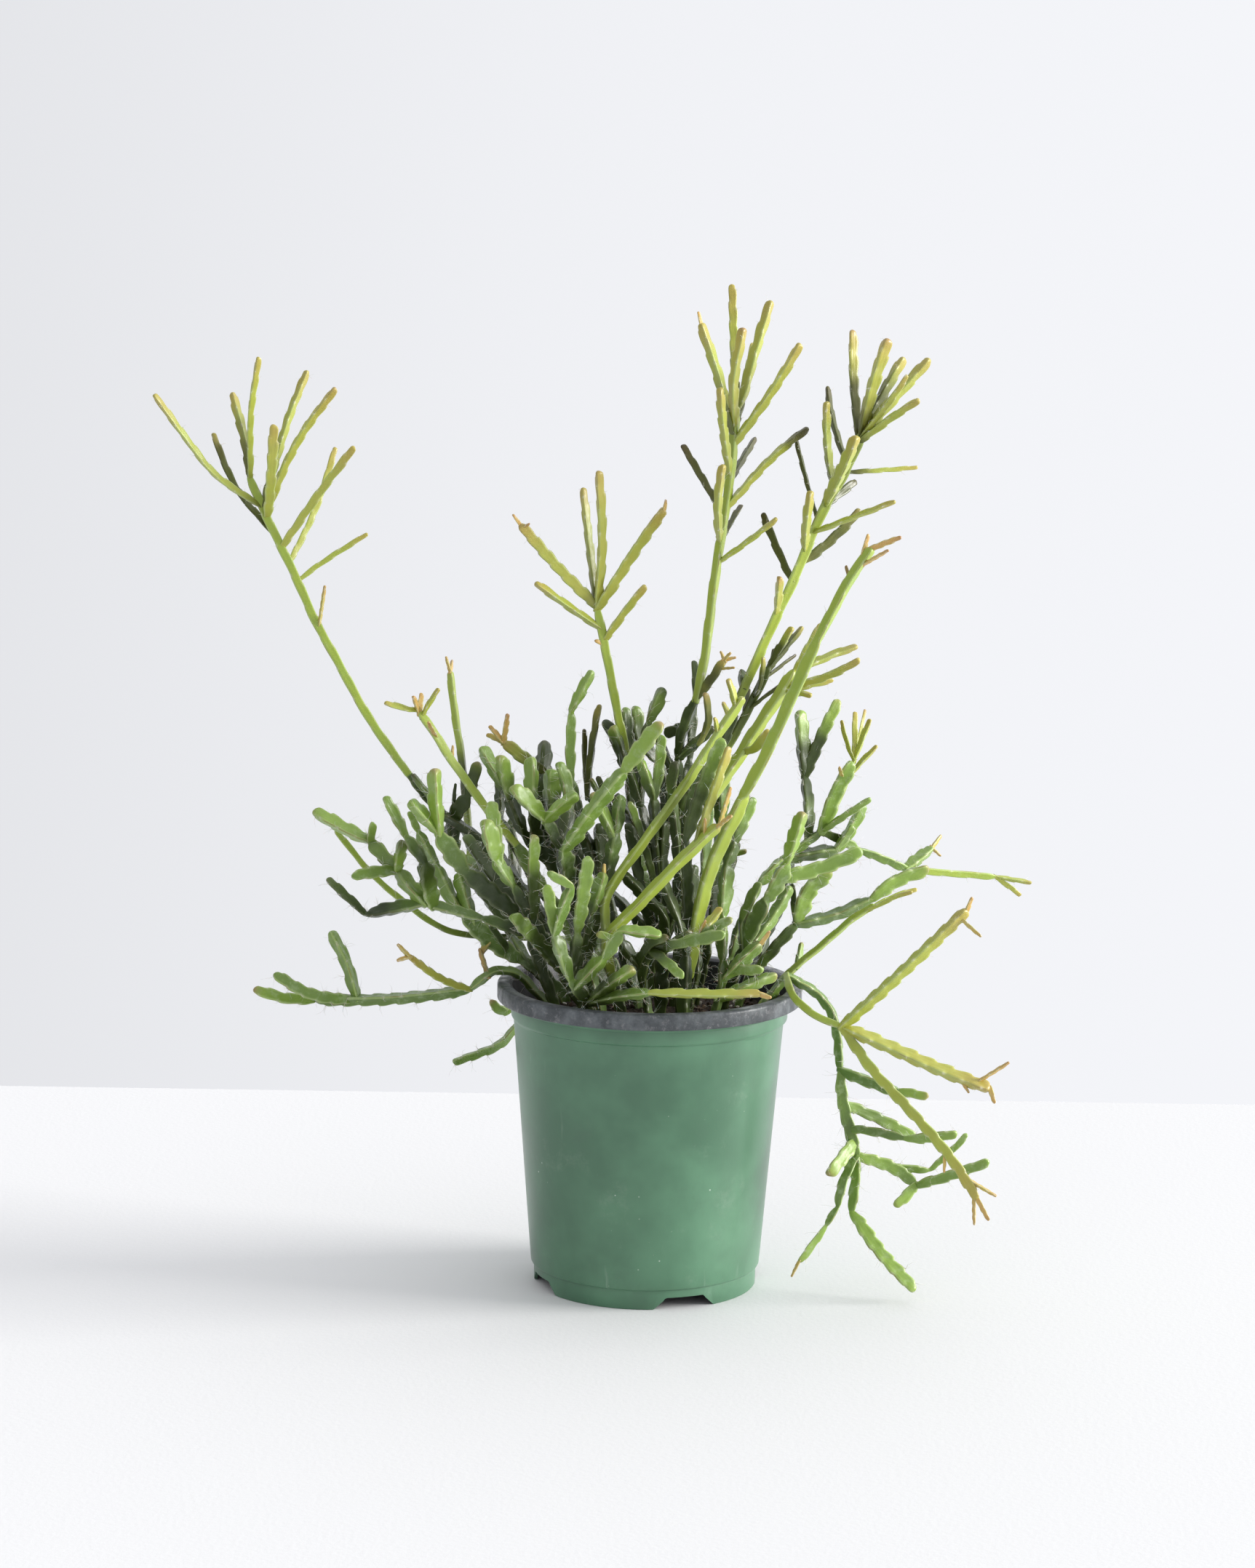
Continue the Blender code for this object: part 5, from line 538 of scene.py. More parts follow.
def spread(segments):
    """Stems that would touch lean apart, mostly to the front and back, until they are clear."""
    counts = [len(s.line) for s in segments]
    starts = np.r_[0, np.cumsum(counts)]
    names = list(STEMS)
    stem = np.repeat([names.index(s.stem) for s in segments], counts)
    radius = np.concatenate([RIDGE_SHARE * s.width * s.girth(s.t) for s in segments])
    rooted = np.concatenate([(s.t < ROOTED_SHARE) & (s.parent is None) for s in segments])
    for step in range(SPREAD_STEPS):
        now = place(segments)
        if step % SEARCH_EVERY == 0:
            square = (now**2).sum(axis=1)
            apart = square[:, None] + square[None, :] - 2 * now @ now.T
            reach = (radius[:, None] + radius[None, :] + SEARCH_REACH)**2
            first, second = np.nonzero((apart < reach) & (stem[:, None] < stem[None, :]))
        gap = now[first] - now[second]
        distance = np.linalg.norm(gap, axis=1)
        lack = radius[first] + radius[second] + CLEARANCE - distance
        hit = lack > 0
        a, b, gap, lack = first[hit], second[hit], gap[hit], lack[hit]
        way = gap * (SIDEWAYS, 1, SIDEWAYS)
        way[:, 1] += np.where(gap[:, 1] < 0, -DEPTHWAYS, DEPTHWAYS)
        half = unit(way) * lack[:, None] / 2
        push, hits = np.zeros_like(now), np.zeros(len(now))
        for k, share in ((a, half), (b, -half)):
            np.add.at(push, k, share)
            np.add.at(hits, k, 1)
        push /= np.maximum(hits, 1)[:, None]
        push += keep_off_pot(now, radius, rooted)
        for s in reversed(segments):
            mine = push[starts[s.number]:starts[s.number + 1]]
            grip = np.minimum(1, s.t / BENDING_SHARE)[:, None]
            s.lean += mine * grip
            left = mine * (1 - grip)
            if s.parent:
                k = starts[s.parent.number] + round(s.at * (len(s.parent.line) - 1))
                push[k] += left[abs(left).sum(axis=1).argmax()]
            s.lean[1:-1] = (s.lean[:-2] + 2 * s.lean[1:-1] + s.lean[2:]) / 4
            s.lean[0] = 0
    place(segments)


def chains(segments):
    """Runs of segments that follow on from tip to tip; every other one branches off a run's side."""
    follower = {}
    for s in segments:
        if s.parent and s.at > FOLLOWS_FROM and s.kind != BUD:
            start = s.now[1] - s.now[0]
            straightness = s.parent.heading(1.0).dot(start) / np.linalg.norm(start)
            best = follower.get(s.parent.number, (STRAIGHT_ENOUGH, None))
            if straightness > best[0]:
                follower[s.parent.number] = (straightness, s)
    following = {s.number for _, s in follower.values()}
    runs = []
    for s in segments:
        if s.number not in following:
            run = [s]
            while run[-1].number in follower:
                run.append(follower[run[-1].number][1])
            runs.append(run)
    return runs


# The fine skin of each kind: the length of a tooth and how far the ridge steps in after it, how sharp the
# ridges are and how far the faces between them lie in, then how long a segment takes to fill out after its
# joint and to narrow before its end, how young it looks, and the bristles of an areole: always fewer than
# this many, and about this long
Skin = namedtuple("Skin", "tooth step sharp face rise fall youth bristles reach")
SKINS = {
    OLD: Skin(6.5, 0.20, 2.5, 0.48, 8.0, 5.0, 0.0, 5, 4.2),
    YOUNG: Skin(7.5, 0.22, 2.7, 0.50, 9.0, 4.0, 0.75, 3, 1.9),
    WAND: Skin(12.0, 0.12, 1.8, 0.57, 12.0, 5.0, 0.42, 3, 2.2),
    BUD: Skin(3.0, 0.22, 2.6, 0.50, 2.5, 3.0, 1.0, 1, 1.0),
}

# The fine skin's rings, its points round a ridge in degrees, and how a segment fills out and rounds off
FINE_SHARE = 0.62
RING_SPACING = 0.72
RIDGE_ANGLES = (-43, -25, -11, 0, 11, 25, 43, 60)
SLIM_RIDGE_ANGLES = (-34, -14, 0, 14, 34, 60)
SLIM = 3.0
ROUND_FACE = 0.92
LONGEST_RISE = 0.45
LONGEST_FALL = 0.3
TIP_FLARE = 0.12
TIP_FALL = 1.6
FEWEST_RINGS = 8
DOME_RINGS = 7
LONGEST_DOME = 0.3
BLUNTEST = 0.02

# Its teeth, its uneven ridges, the scar at its tip, and its areoles
TOOTH_START = 2.0
TOOTH_VARY = (0.85, 1.2)
TOOTH_RISE = 0.75
TOOTH_TOP = 0.92
SMOOTH_JOINT = 1.0
TOOTH_FADE = 2.5
RIDGE_VARY = (0.9, 1.0)
WAVE = 0.025
WAVE_PACE = (0.3, 0.6)
SCAR_LENGTH = 1.2
AREOLE = 0.95
AREOLE_REACH = 0.55
AREOLE_MARGINS = (1.5, 0.3)

# How segments turn at their joints, how young they look, and how painted shade is counted deep inside the
# plant
JOINT_TURN = math.radians(38)
TURN_LENGTH = 2.0
TWIST = 0.2
GENERATION_YOUTH = 0.022
OLDEST_GENERATION = 7
TERMINAL_YOUTH = 0.07
PAINTED_SHADE_REACH = 26.0
PAINTED_SHADE_WAY = np.array((0.50, -0.75, 0.43))
PAINTED_SHADE_CONE = 0.6
PAINTED_SHADE_FULL = 30
PAINTED_SHADE_FULL_OF_WAND = 60

# The bristles
BRISTLE_RADIUS = 0.05
BRISTLE_POINTS = 4
BRISTLE_VARY = (0.4, 1.3)
BRISTLE_LEAN = (-0.1, 0.9)
BRISTLE_SPREAD = 0.45
BRISTLE_ROOT = 0.15
BRISTLE_CURL = 0.28
BRISTLE_WAVER = 0.14
BRISTLE_TIP = 0.35
ASKEW = (0.31, 0.52, 0.79)

TRAITS = ("ridge", "areole", "along", "tip", "youth", "tint", "shelter")


def filled(x):
    """A quick start that levels off: 0 at 0, 1 from 1 on."""
    return 1 - (1 - np.clip(x, 0, 1))**2


def peg_radius(width):
    """Half the thickness of a stem's buried foot."""
    return PEG_SHARE * max(THINNEST_PEG, width)


def knots_of(run):
    """A run's ring centres as in the solid, their arc lengths and sides, and where each segment starts."""
    centres, starts = [], []
    for s in run:
        t = s.stations()
        starts.append(max(0, len(centres) - 1))
        centres.extend(between(t, s.t, s.now)[1 if centres else 0:])
    centres = np.array(centres)
    if run[0].parent is None:
        centres = np.vstack([centres[0] - (0, 0, PEG_DEPTH), centres])
        starts = [k + 1 for k in starts]
    ahead = unit(np.gradient(centres, axis=0))
    if run[0].parent:
        centres[0] -= ahead[0] * SINK
    side = np.cross(ahead[0], FIRST_RIDGE)
    sides = []
    for way in ahead:
        side = side - way * side.dot(way)
        side /= np.linalg.norm(side)
        sides.append(side)
    arc = np.r_[0, np.cumsum(np.linalg.norm(np.diff(centres, axis=0), axis=1))]
    return centres, arc, np.array(sides), [*arc[starts], arc[-1]]


def through(knots, arc, at):
    """Points of a smooth curve through the knots, and its direction there."""
    slope = np.gradient(knots, arc, axis=0)
    k = np.clip(np.searchsorted(arc, at, side="right") - 1, 0, len(arc) - 2)
    span = (arc[k + 1] - arc[k])[:, None]
    u = (at - arc[k])[:, None] / span
    a, b, p, q = knots[k], knots[k + 1], slope[k] * span, slope[k + 1] * span
    points = a + u * p + u**2 * (3 * (b - a) - 2 * p - q) + u**3 * (2 * (a - b) + p + q)
    return points, unit(np.gradient(points, at, axis=0))


def girth_along(run, number, u, v, dome):
    """One segment's width as a share of its full width, u after its joint and v before its end."""
    s, length = run[number], u + v
    own, shape = SKINS[s.kind], SHAPES[s.kind]
    full = s.width * FINE_SHARE
    first = full * shape.waist
    if s.parent is None:
        first = peg_radius(s.width)
    elif number:
        first = min(full, FINE_SHARE * run[number - 1].width) * shape.waist
    rise = first / full + (1 - first / full) * filled(u / np.minimum(own.rise, length * LONGEST_RISE))
    if number + 1 < len(run):
        after = run[number + 1]
        last = min(full, FINE_SHARE * after.width) * SHAPES[after.kind].waist / full
        return rise * (last + (1 - last) * filled(v / np.minimum(own.fall, length * LONGEST_FALL)))
    round_end = np.sqrt(np.clip(filled(v / dome), BLUNTEST, 1))
    blunt = shape.tip + TIP_FLARE
    return rise * (blunt + (1 - blunt) * filled(v / (own.fall * TIP_FALL))) * round_end


def skin(run, rng):
    """The fine surface of a run: rings of points, each point's traits, and where its areoles are."""
    knots, arc, sides, starts = knots_of(run)
    at = np.linspace(0, arc[-1], max(FEWEST_RINGS, round(arc[-1] / RING_SPACING)))
    last = run[-1]
    dome = min(LONGEST_DOME * (starts[-1] - starts[-2]), FINE_SHARE * last.width * SHAPES[last.kind].tip)
    near_tip = arc[-1] - dome * (1 - np.sin(np.linspace(0, math.pi / 2, DOME_RINGS)[1:]))
    at = np.unique(np.r_[at[at < arc[-1] - dome], near_tip])
    middle, way = through(knots, arc, at)
    side = between(at, arc, sides)
    side = unit(side - way * (side * way).sum(axis=1)[:, None])
    other = np.cross(way, side)

    slim = max(s.width for s in run) < SLIM
    spots = np.radians(SLIM_RIDGE_ANGLES if slim else RIDGE_ANGLES)
    ridge = np.repeat(np.arange(3), len(spots))
    off_ridge = np.tile(spots, 3)
    crest_form = (1 + np.cos(3 * off_ridge)) / 2
    radius = np.zeros((len(at), len(ridge)))
    traits = {name: np.zeros_like(radius) for name in TRAITS}
    areoles, turn_at, turns = [], [], []
    for number, (s, start, end) in enumerate(zip(run, starts, starts[1:])):
        own, full = SKINS[s.kind], FINE_SHARE * s.width
        follows = number + 1 < len(run)
        inside = (at >= start if number else at >= 0) & ((at < end) if follows else (at <= end))
        u, v, length = at[inside] - start, end - at[inside], end - start
        share = girth_along(run, number, u, v, dome)
        face = own.face + (ROUND_FACE - own.face) * (1 - np.clip(share, 0, 1))
        crest = crest_form**own.sharp
        tooth = own.tooth * rng.uniform(*TOOTH_VARY)
        shift = rng.uniform(0, 1)
        phase = ((u[:, None] - TOOTH_START) / tooth + ridge / 3 + shift) % 1
        rising = 1 - ease(phase / TOOTH_RISE)
        step = np.where(phase < TOOTH_TOP, rising, (phase - TOOTH_TOP) / (1 - TOOTH_TOP))
        shown = np.clip((u - SMOOTH_JOINT) / TOOTH_FADE, 0, 1)
        if follows:
            shown = shown * np.clip(v / TOOTH_FADE, 0, 1)
        step = step * own.step * shown[:, None]
        heights = rng.uniform(*RIDGE_VARY, 3)[ridge]
        local = face[:, None] + (heights - face[:, None] - step) * crest
        wave = 1 + WAVE * np.sin(u * rng.uniform(*WAVE_PACE) + rng.uniform(0, 6))
        radius[inside] = (full * share * wave)[:, None] * local
        from_areole = np.minimum(abs(phase - AREOLE), 1 - abs(phase - AREOLE)) * tooth
        spot = np.exp(-(from_areole**2 + (off_ridge * full)**2) / AREOLE_REACH**2)
        for name, value in {
                "areole": spot * shown[:, None], "ridge": crest, "along": (u / length)[:, None].clip(0, 1),
                "tip": 0 if follows else np.exp(-v / SCAR_LENGTH)[:, None], "youth": s.youth,
                "tint": rng.uniform(0, 1), "shelter": np.interp(u / length, s.t, s.shelter)[:, None]}.items():
            traits[name][inside] = value
        for j in range(3):
            for m in range(-3, int(length / tooth) + 2):
                spot = TOOTH_START + (m + AREOLE - j / 3 - shift) * tooth
                if AREOLE_MARGINS[0] < spot < length - AREOLE_MARGINS[1]:
                    areoles.append((start + spot, j, s))
        if number:
            areoles += [(start, j, s) for j in range(3)]
        turn = rng.uniform(-JOINT_TURN, JOINT_TURN)
        turn_at += [start + TURN_LENGTH / 2, max(start + TURN_LENGTH, end - TURN_LENGTH / 2)]
        turns += [turn, turn + rng.uniform(-TWIST, TWIST)]

    angle = (ridge * math.tau / 3 + off_ridge)[None, :] + np.interp(at, turn_at, turns)[:, None]
    out = np.cos(angle)[:, :, None] * side[:, None, :] + np.sin(angle)[:, :, None] * other[:, None, :]
    points = middle[:, None, :] + radius[:, :, None] * out
    anchors = []
    for where, j, s in areoles:
        k = int(abs(at - where).argmin())
        a = int(np.flatnonzero((ridge == j) & (off_ridge == 0))[0])
        anchors.append((points[k, a], out[k, a], way[k], s))
    return points, traits, anchors


def closed_tube(points, traits):
    """Points, triangles and traits of a tube through rings, with a point closing each end."""
    rings, around = points.shape[:2]
    flat = np.vstack([points.reshape(-1, 3), points[0].mean(axis=0), points[-1].mean(axis=0)])
    k = np.arange(rings - 1)[:, None] * around
    a = np.arange(around)[None, :]
    b = (a + 1) % around
    quads = np.stack([k + a, k + b, k + around + b, k + around + a], axis=-1).reshape(-1, 4)
    a, b = a[0], b[0]
    foot, top, last = rings * around, rings * around + 1, (rings - 1) * around
    ends = [(foot, q, p) for p, q in zip(a, b)] + [(top, last + p, last + q) for p, q in zip(a, b)]
    faces = [*quads.tolist(), *ends]
    values = {n: np.r_[t.ravel(), t[0].mean(), t[-1].mean()] for n, t in traits.items()}
    return flat, faces, values


def mesh_object(name, parts, material, traits=()):
    """One object from (points in mm, faces, traits) parts, placed round the pot's axis."""
    points, faces, base = [], [], 0
    values = {n: [] for n in traits}
    for flat, own_faces, own_values in parts:
        points.append(flat)
        faces += [[base + k for k in f] for f in own_faces]
        base += len(flat)
        for n in traits:
            values[n].append(own_values[n])
    points = np.vstack(points) * MM + (AXIS.x, AXIS.y, 0)
    mesh = bpy.data.meshes.new(name)
    mesh.from_pydata(points.tolist(), [], faces)
    for n in traits:
        layer = mesh.attributes.new(n, "FLOAT", "POINT")
        layer.data.foreach_set("value", np.concatenate(values[n]).astype(np.float32))
    mesh.shade_smooth()
    mesh.materials.append(material)
    return put(name, mesh)


def bristle(root, out, way, length, rng):
    """One fine, curling white bristle."""
    heading = out + way * rng.uniform(*BRISTLE_LEAN) + rng.normal(0, BRISTLE_SPREAD, 3)
    heading /= np.linalg.norm(heading)
    curl = rng.normal(0, BRISTLE_CURL, 3)
    path = [root - out * BRISTLE_ROOT]
    for _ in range(BRISTLE_POINTS - 1):
        path.append(path[-1] + heading * length / (BRISTLE_POINTS - 1))
        heading = heading + curl + rng.normal(0, BRISTLE_WAVER, 3)
        heading /= np.linalg.norm(heading)
    path = np.array(path)
    ahead = unit(np.gradient(path, axis=0))
    side = unit(np.cross(ahead, ASKEW))
    other = np.cross(ahead, side)
    angles = np.arange(3) * math.tau / 3
    thin = BRISTLE_RADIUS * np.linspace(1, BRISTLE_TIP, BRISTLE_POINTS)[:, None, None]
    ring = np.cos(angles)[None, :, None] * side[:, None] + np.sin(angles)[None, :, None] * other[:, None]
    return closed_tube(path[:, None] + thin * ring, {})


def set_youth(segments):
    """How young each segment looks: by its kind, by how many came before it, and more where none follows."""
    parents = {s.parent.number for s in segments if s.parent}
    for s in segments:
        s.generation = s.parent.generation + 1 if s.parent else 0
        s.youth = SKINS[s.kind].youth
        if s.kind == OLD:
            s.youth = GENERATION_YOUTH * min(s.generation, OLDEST_GENERATION)
            s.youth += TERMINAL_YOUTH * (s.number not in parents)


def set_shelter(segments):
    """Painted shade for each point of a segment: how many other stems lie near it, counted from the bright
    side of the room.
    """
    now = np.vstack([s.now for s in segments])
    own = np.repeat(np.arange(len(segments)), [len(s.now) for s in segments])
    for number, s in enumerate(segments):
        off = now[None, own != number] - s.now[:, None]
        distance = np.linalg.norm(off, axis=2)
        facing = (off @ PAINTED_SHADE_WAY) > PAINTED_SHADE_CONE * distance
        count = (facing & (distance < PAINTED_SHADE_REACH)).sum(axis=1)
        full = PAINTED_SHADE_FULL_OF_WAND if s.kind == WAND else PAINTED_SHADE_FULL
        s.shelter = np.clip(count / full, 0, 1)


def build_stems(segments, rng):
    """Every rooted stem as one fine piece, and all the bristles as another."""
    set_youth(segments)
    set_shelter(segments)
    finish = stem_material()
    bristles = []
    for stem in STEMS:
        parts = []
        for run in chains([s for s in segments if s.stem == stem]):
            points, traits, anchors = skin(run, rng)
            parts.append(closed_tube(points, traits))
            for root, out, way, s in anchors:
                own = SKINS[s.kind]
                for _ in range(rng.integers(0, own.bristles)):
                    bristles.append(bristle(root, out, way, own.reach * rng.uniform(*BRISTLE_VARY), rng))
        piece = mesh_object(f"fine_{stem}", parts, finish, TRAITS)
        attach(piece, "root")
        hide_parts(f"stem_{stem}")
    hair = mesh_object("bristles", bristles, bristle_material())
    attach(hair, "root")


def grid(tree, kind, inputs=None, **settings):
    """A node with its settings, and its inputs set to a value or linked to another node's output."""
    made = tree.nodes.new(f"ShaderNode{kind}")
    for key, value in settings.items():
        setattr(made, key, value)
    for key, value in (inputs or {}).items():
        if isinstance(value, bpy.types.NodeSocket):
            tree.links.new(value, made.inputs[key])
        else:
            made.inputs[key].default_value = value
    return made


def fitted(tree, value, low, high, start, end, way="SMOOTHSTEP"):
    """A value's range from low to high carried over to start and end."""
    inputs = {"Value": value, "From Min": low, "From Max": high, "To Min": start, "To Max": end}
    return grid(tree, "MapRange", inputs, interpolation_type=way).outputs["Result"]


class Finish:
    """A node material under construction: a Principled shader and short names for the usual nodes."""

    def __init__(self, name):
        self.made = bpy.data.materials.new(name)
        self.made.use_nodes = True
        self.tree = self.made.node_tree
        self.shader = self.tree.nodes["Principled BSDF"]
        self.place = self.tree.nodes.new("ShaderNodeTexCoord").outputs["Object"]

    def set(self, **values):
        for key, value in values.items():
            socket = self.shader.inputs[key.replace("_", " ")]
            if isinstance(value, bpy.types.NodeSocket):
                self.tree.links.new(value, socket)
            else:
                socket.default_value = value

    def trait(self, name):
        return grid(self.tree, "Attribute", attribute_name=name).outputs["Fac"]

    def noise(self, scale, detail=3.0, rough=0.55, place=None):
        inputs = {"Vector": place or self.place, "Scale": scale, "Detail": detail, "Roughness": rough}
        return grid(self.tree, "TexNoise", inputs).outputs["Fac"]

    def spots(self, scale):
        return grid(self.tree, "TexVoronoi", {"Vector": self.place, "Scale": scale}).outputs["Distance"]

    def stretched(self, x, y, z):
        mapping = grid(self.tree, "Mapping", {"Vector": self.place, "Scale": (x, y, z)})
        return mapping.outputs["Vector"]

    def ramp(self, value, low, high, start=0.0, end=1.0):
        return fitted(self.tree, value, low, high, start, end)

    def math(self, operation, a, b=0.0):
        return grid(self.tree, "Math", {0: a, 1: b}, operation=operation).outputs[0]

    def times(self, a, b):
        return self.math("MULTIPLY", a, b)

    def blend(self, share, a, b, way="MIX"):
        a, b = ((*c, 1) if isinstance(c, tuple) and len(c) == 3 else c for c in (a, b))
        return grid(self.tree, "Mix", {0: share, 6: a, 7: b}, data_type="RGBA", blend_type=way).outputs[2]

    def colours(self, value, stops):
        made = grid(self.tree, "ValToRGB", {"Fac": value})
        steps = made.color_ramp.elements
        for k, (place, colour) in enumerate(stops):
            step = steps[k] if k < 2 else steps.new(place)
            step.position, step.color = place, (*colour, 1)
        return made.outputs["Color"]

    def bump(self, height, strength, distance):
        inputs = {"Height": height, "Strength": strength, "Distance": distance}
        self.set(Normal=grid(self.tree, "Bump", inputs).outputs["Normal"])


def stem_material():
    """Waxy skin: dark and bloomed when old, yellow-green with bronze tips when young, with painted shade deep
    inside.
    """
    f = Finish("rhipsalis_skin")
    youth, tint, ridge = f.trait("youth"), f.trait("tint"), f.trait("ridge")
    along, tip, areole = f.trait("along"), f.trait("tip"), f.trait("areole")
    broad, fine = f.noise(90, 3), f.noise(800, 2, 0.6)
    age = f.math("ADD", youth, f.times(f.math("SUBTRACT", tint, 0.5), 0.16))
    age = f.math("ADD", age, f.times(f.math("SUBTRACT", broad, 0.5), 0.25))
    colour = f.colours(age, [
        (0.0, (0.115, 0.195, 0.034)), (0.10, (0.172, 0.278, 0.042)), (0.24, (0.240, 0.368, 0.052)),
        (0.42, (0.308, 0.398, 0.046)), (0.62, (0.338, 0.405, 0.050)), (0.85, (0.400, 0.392, 0.062)),
        (1.0, (0.550, 0.360, 0.105))])
    paler = f.blend(f.times(f.ramp(ridge, 0.55, 1.0), 0.50), colour, (0.450, 0.560, 0.220))
    bloom = f.times(f.ramp(f.noise(230, 6, 0.7), 0.50, 0.66), f.ramp(youth, 0.0, 0.5, 0.42, 0.10))
    bloomed = f.blend(bloom, paler, (0.370, 0.470, 0.250))
    flecks = f.ramp(f.spots(1500), 0.12, 0.30, 0.07, 0.0)
    flecked = f.blend(flecks, bloomed, (0.42, 0.50, 0.33))
    bronze = f.times(f.ramp(along, 0.66, 1.0), f.ramp(youth, 0.50, 0.90, 0.0, 0.66))
    bronzed = f.blend(bronze, flecked, (0.430, 0.245, 0.070))
    rim = f.times(f.ramp(ridge, 0.90, 1.0), f.ramp(f.noise(140, 2), 0.46, 0.64, 0.0, 0.75))
    rimmed = f.blend(rim, bronzed, (0.230, 0.105, 0.045))
    scar = f.times(tip, f.ramp(tint, 0.55, 0.95, 0.0, 0.70))
    scarred = f.blend(scar, rimmed, (0.330, 0.170, 0.095))
    felt = f.times(areole, f.ramp(f.noise(500, 2), 0.40, 0.62, 0.10, 0.75))
    felted = f.blend(felt, scarred, (0.62, 0.60, 0.48))
    # Painted shade: the colour is multiplied darker where many stems stand towards the bright side of the
    # room
    f.set(Base_Color=f.blend(f.ramp(f.trait("shelter"), 0.25, 0.9), felted, (0.17, 0.18, 0.11), "MULTIPLY"))
    f.set(Roughness=f.ramp(fine, 0.3, 0.7, 0.36, 0.50), Specular_IOR_Level=0.4)
    f.set(Coat_Weight=0.30, Coat_Roughness=0.24)
    f.set(Subsurface_Weight=0.10, Subsurface_Radius=(0.7, 1.0, 0.25), Subsurface_Scale=0.001)
    relief = f.math("ADD", f.times(f.noise(420, 2), 0.75), f.times(fine, 0.25))
    f.bump(relief, 0.12, 0.0004)
    return f.made


def bristle_material():
    """Pale hair that lets a little light in."""
    f = Finish("pale_bristle")
    f.set(Base_Color=f.blend(f.noise(300), (0.80, 0.79, 0.72), (0.62, 0.60, 0.50)), Roughness=0.5)
    f.set(Subsurface_Weight=0.2, Subsurface_Scale=0.0005)
    return f.made


def green_plastic():
    """Thin dull green plastic, mottled, with pale scuffs, water marks and specks."""
    f = Finish("green_nursery_plastic")
    cloudy = f.noise(22, 4, 0.6)
    base = f.blend(f.ramp(cloudy, 0.35, 0.68), (0.050, 0.143, 0.077), (0.088, 0.222, 0.125))
    mottled = f.blend(f.ramp(f.noise(65, 5, 0.7), 0.50, 0.78, 0.0, 0.40), base, (0.058, 0.130, 0.080))
    dusty = f.blend(f.ramp(f.noise(38, 6, 0.75), 0.56, 0.82, 0.0, 0.32), mottled, (0.300, 0.400, 0.310))
    runs = f.noise(1.0, 3, 0.6, f.stretched(190, 190, 26))
    marked = f.blend(f.ramp(runs, 0.66, 0.80, 0.0, 0.35), dusty, (0.360, 0.470, 0.380))
    specks = f.ramp(f.spots(210), 0.035, 0.075, 0.75, 0.0)
    chosen = f.times(specks, f.ramp(f.noise(40, 2), 0.50, 0.60))
    f.set(Base_Color=f.blend(chosen, marked, (0.58, 0.66, 0.58)))
    f.set(Roughness=f.ramp(cloudy, 0.3, 0.7, 0.34, 0.48), Specular_IOR_Level=0.5)
    f.set(Coat_Weight=0.40, Coat_Roughness=0.32)
    relief = f.math("ADD", f.noise(14, 3), f.times(f.noise(700, 3), 0.06))
    f.bump(relief, 0.30, 0.0016)
    return f.made


def black_plastic():
    """The pot's black lip, grey with dust and wear."""
    f = Finish("black_nursery_plastic")
    base = f.blend(f.ramp(f.noise(120, 4, 0.7), 0.40, 0.75), (0.045, 0.052, 0.058), (0.125, 0.140, 0.150))
    dust = f.ramp(f.noise(420, 6, 0.8), 0.52, 0.72, 0.0, 0.75)
    f.set(Base_Color=f.blend(dust, base, (0.260, 0.255, 0.265)))
    f.set(Roughness=f.ramp(f.noise(200, 3), 0.35, 0.65, 0.28, 0.55))
    f.bump(f.noise(260, 4), 0.30, 0.0007)
    return f.made


def earth():
    """Dark, moist, crumbly peat."""
    f = Finish("peat")
    base = f.colours(f.noise(420, 6, 0.75), [
        (0.35, (0.010, 0.007, 0.005)), (0.5, (0.035, 0.023, 0.015)), (0.7, (0.085, 0.055, 0.035))])
    f.set(Base_Color=base, Roughness=0.9)
    f.bump(f.noise(1500, 4, 0.7), 0.8, 0.0008)
    return f.made


def plain(name, colour, vary, roughness, scale=300):
    """A plain stone-like finish that varies between two colours."""
    f = Finish(name)
    f.set(Base_Color=f.blend(f.ramp(f.noise(scale, 3), 0.35, 0.65), colour, vary), Roughness=roughness)
    return f.made


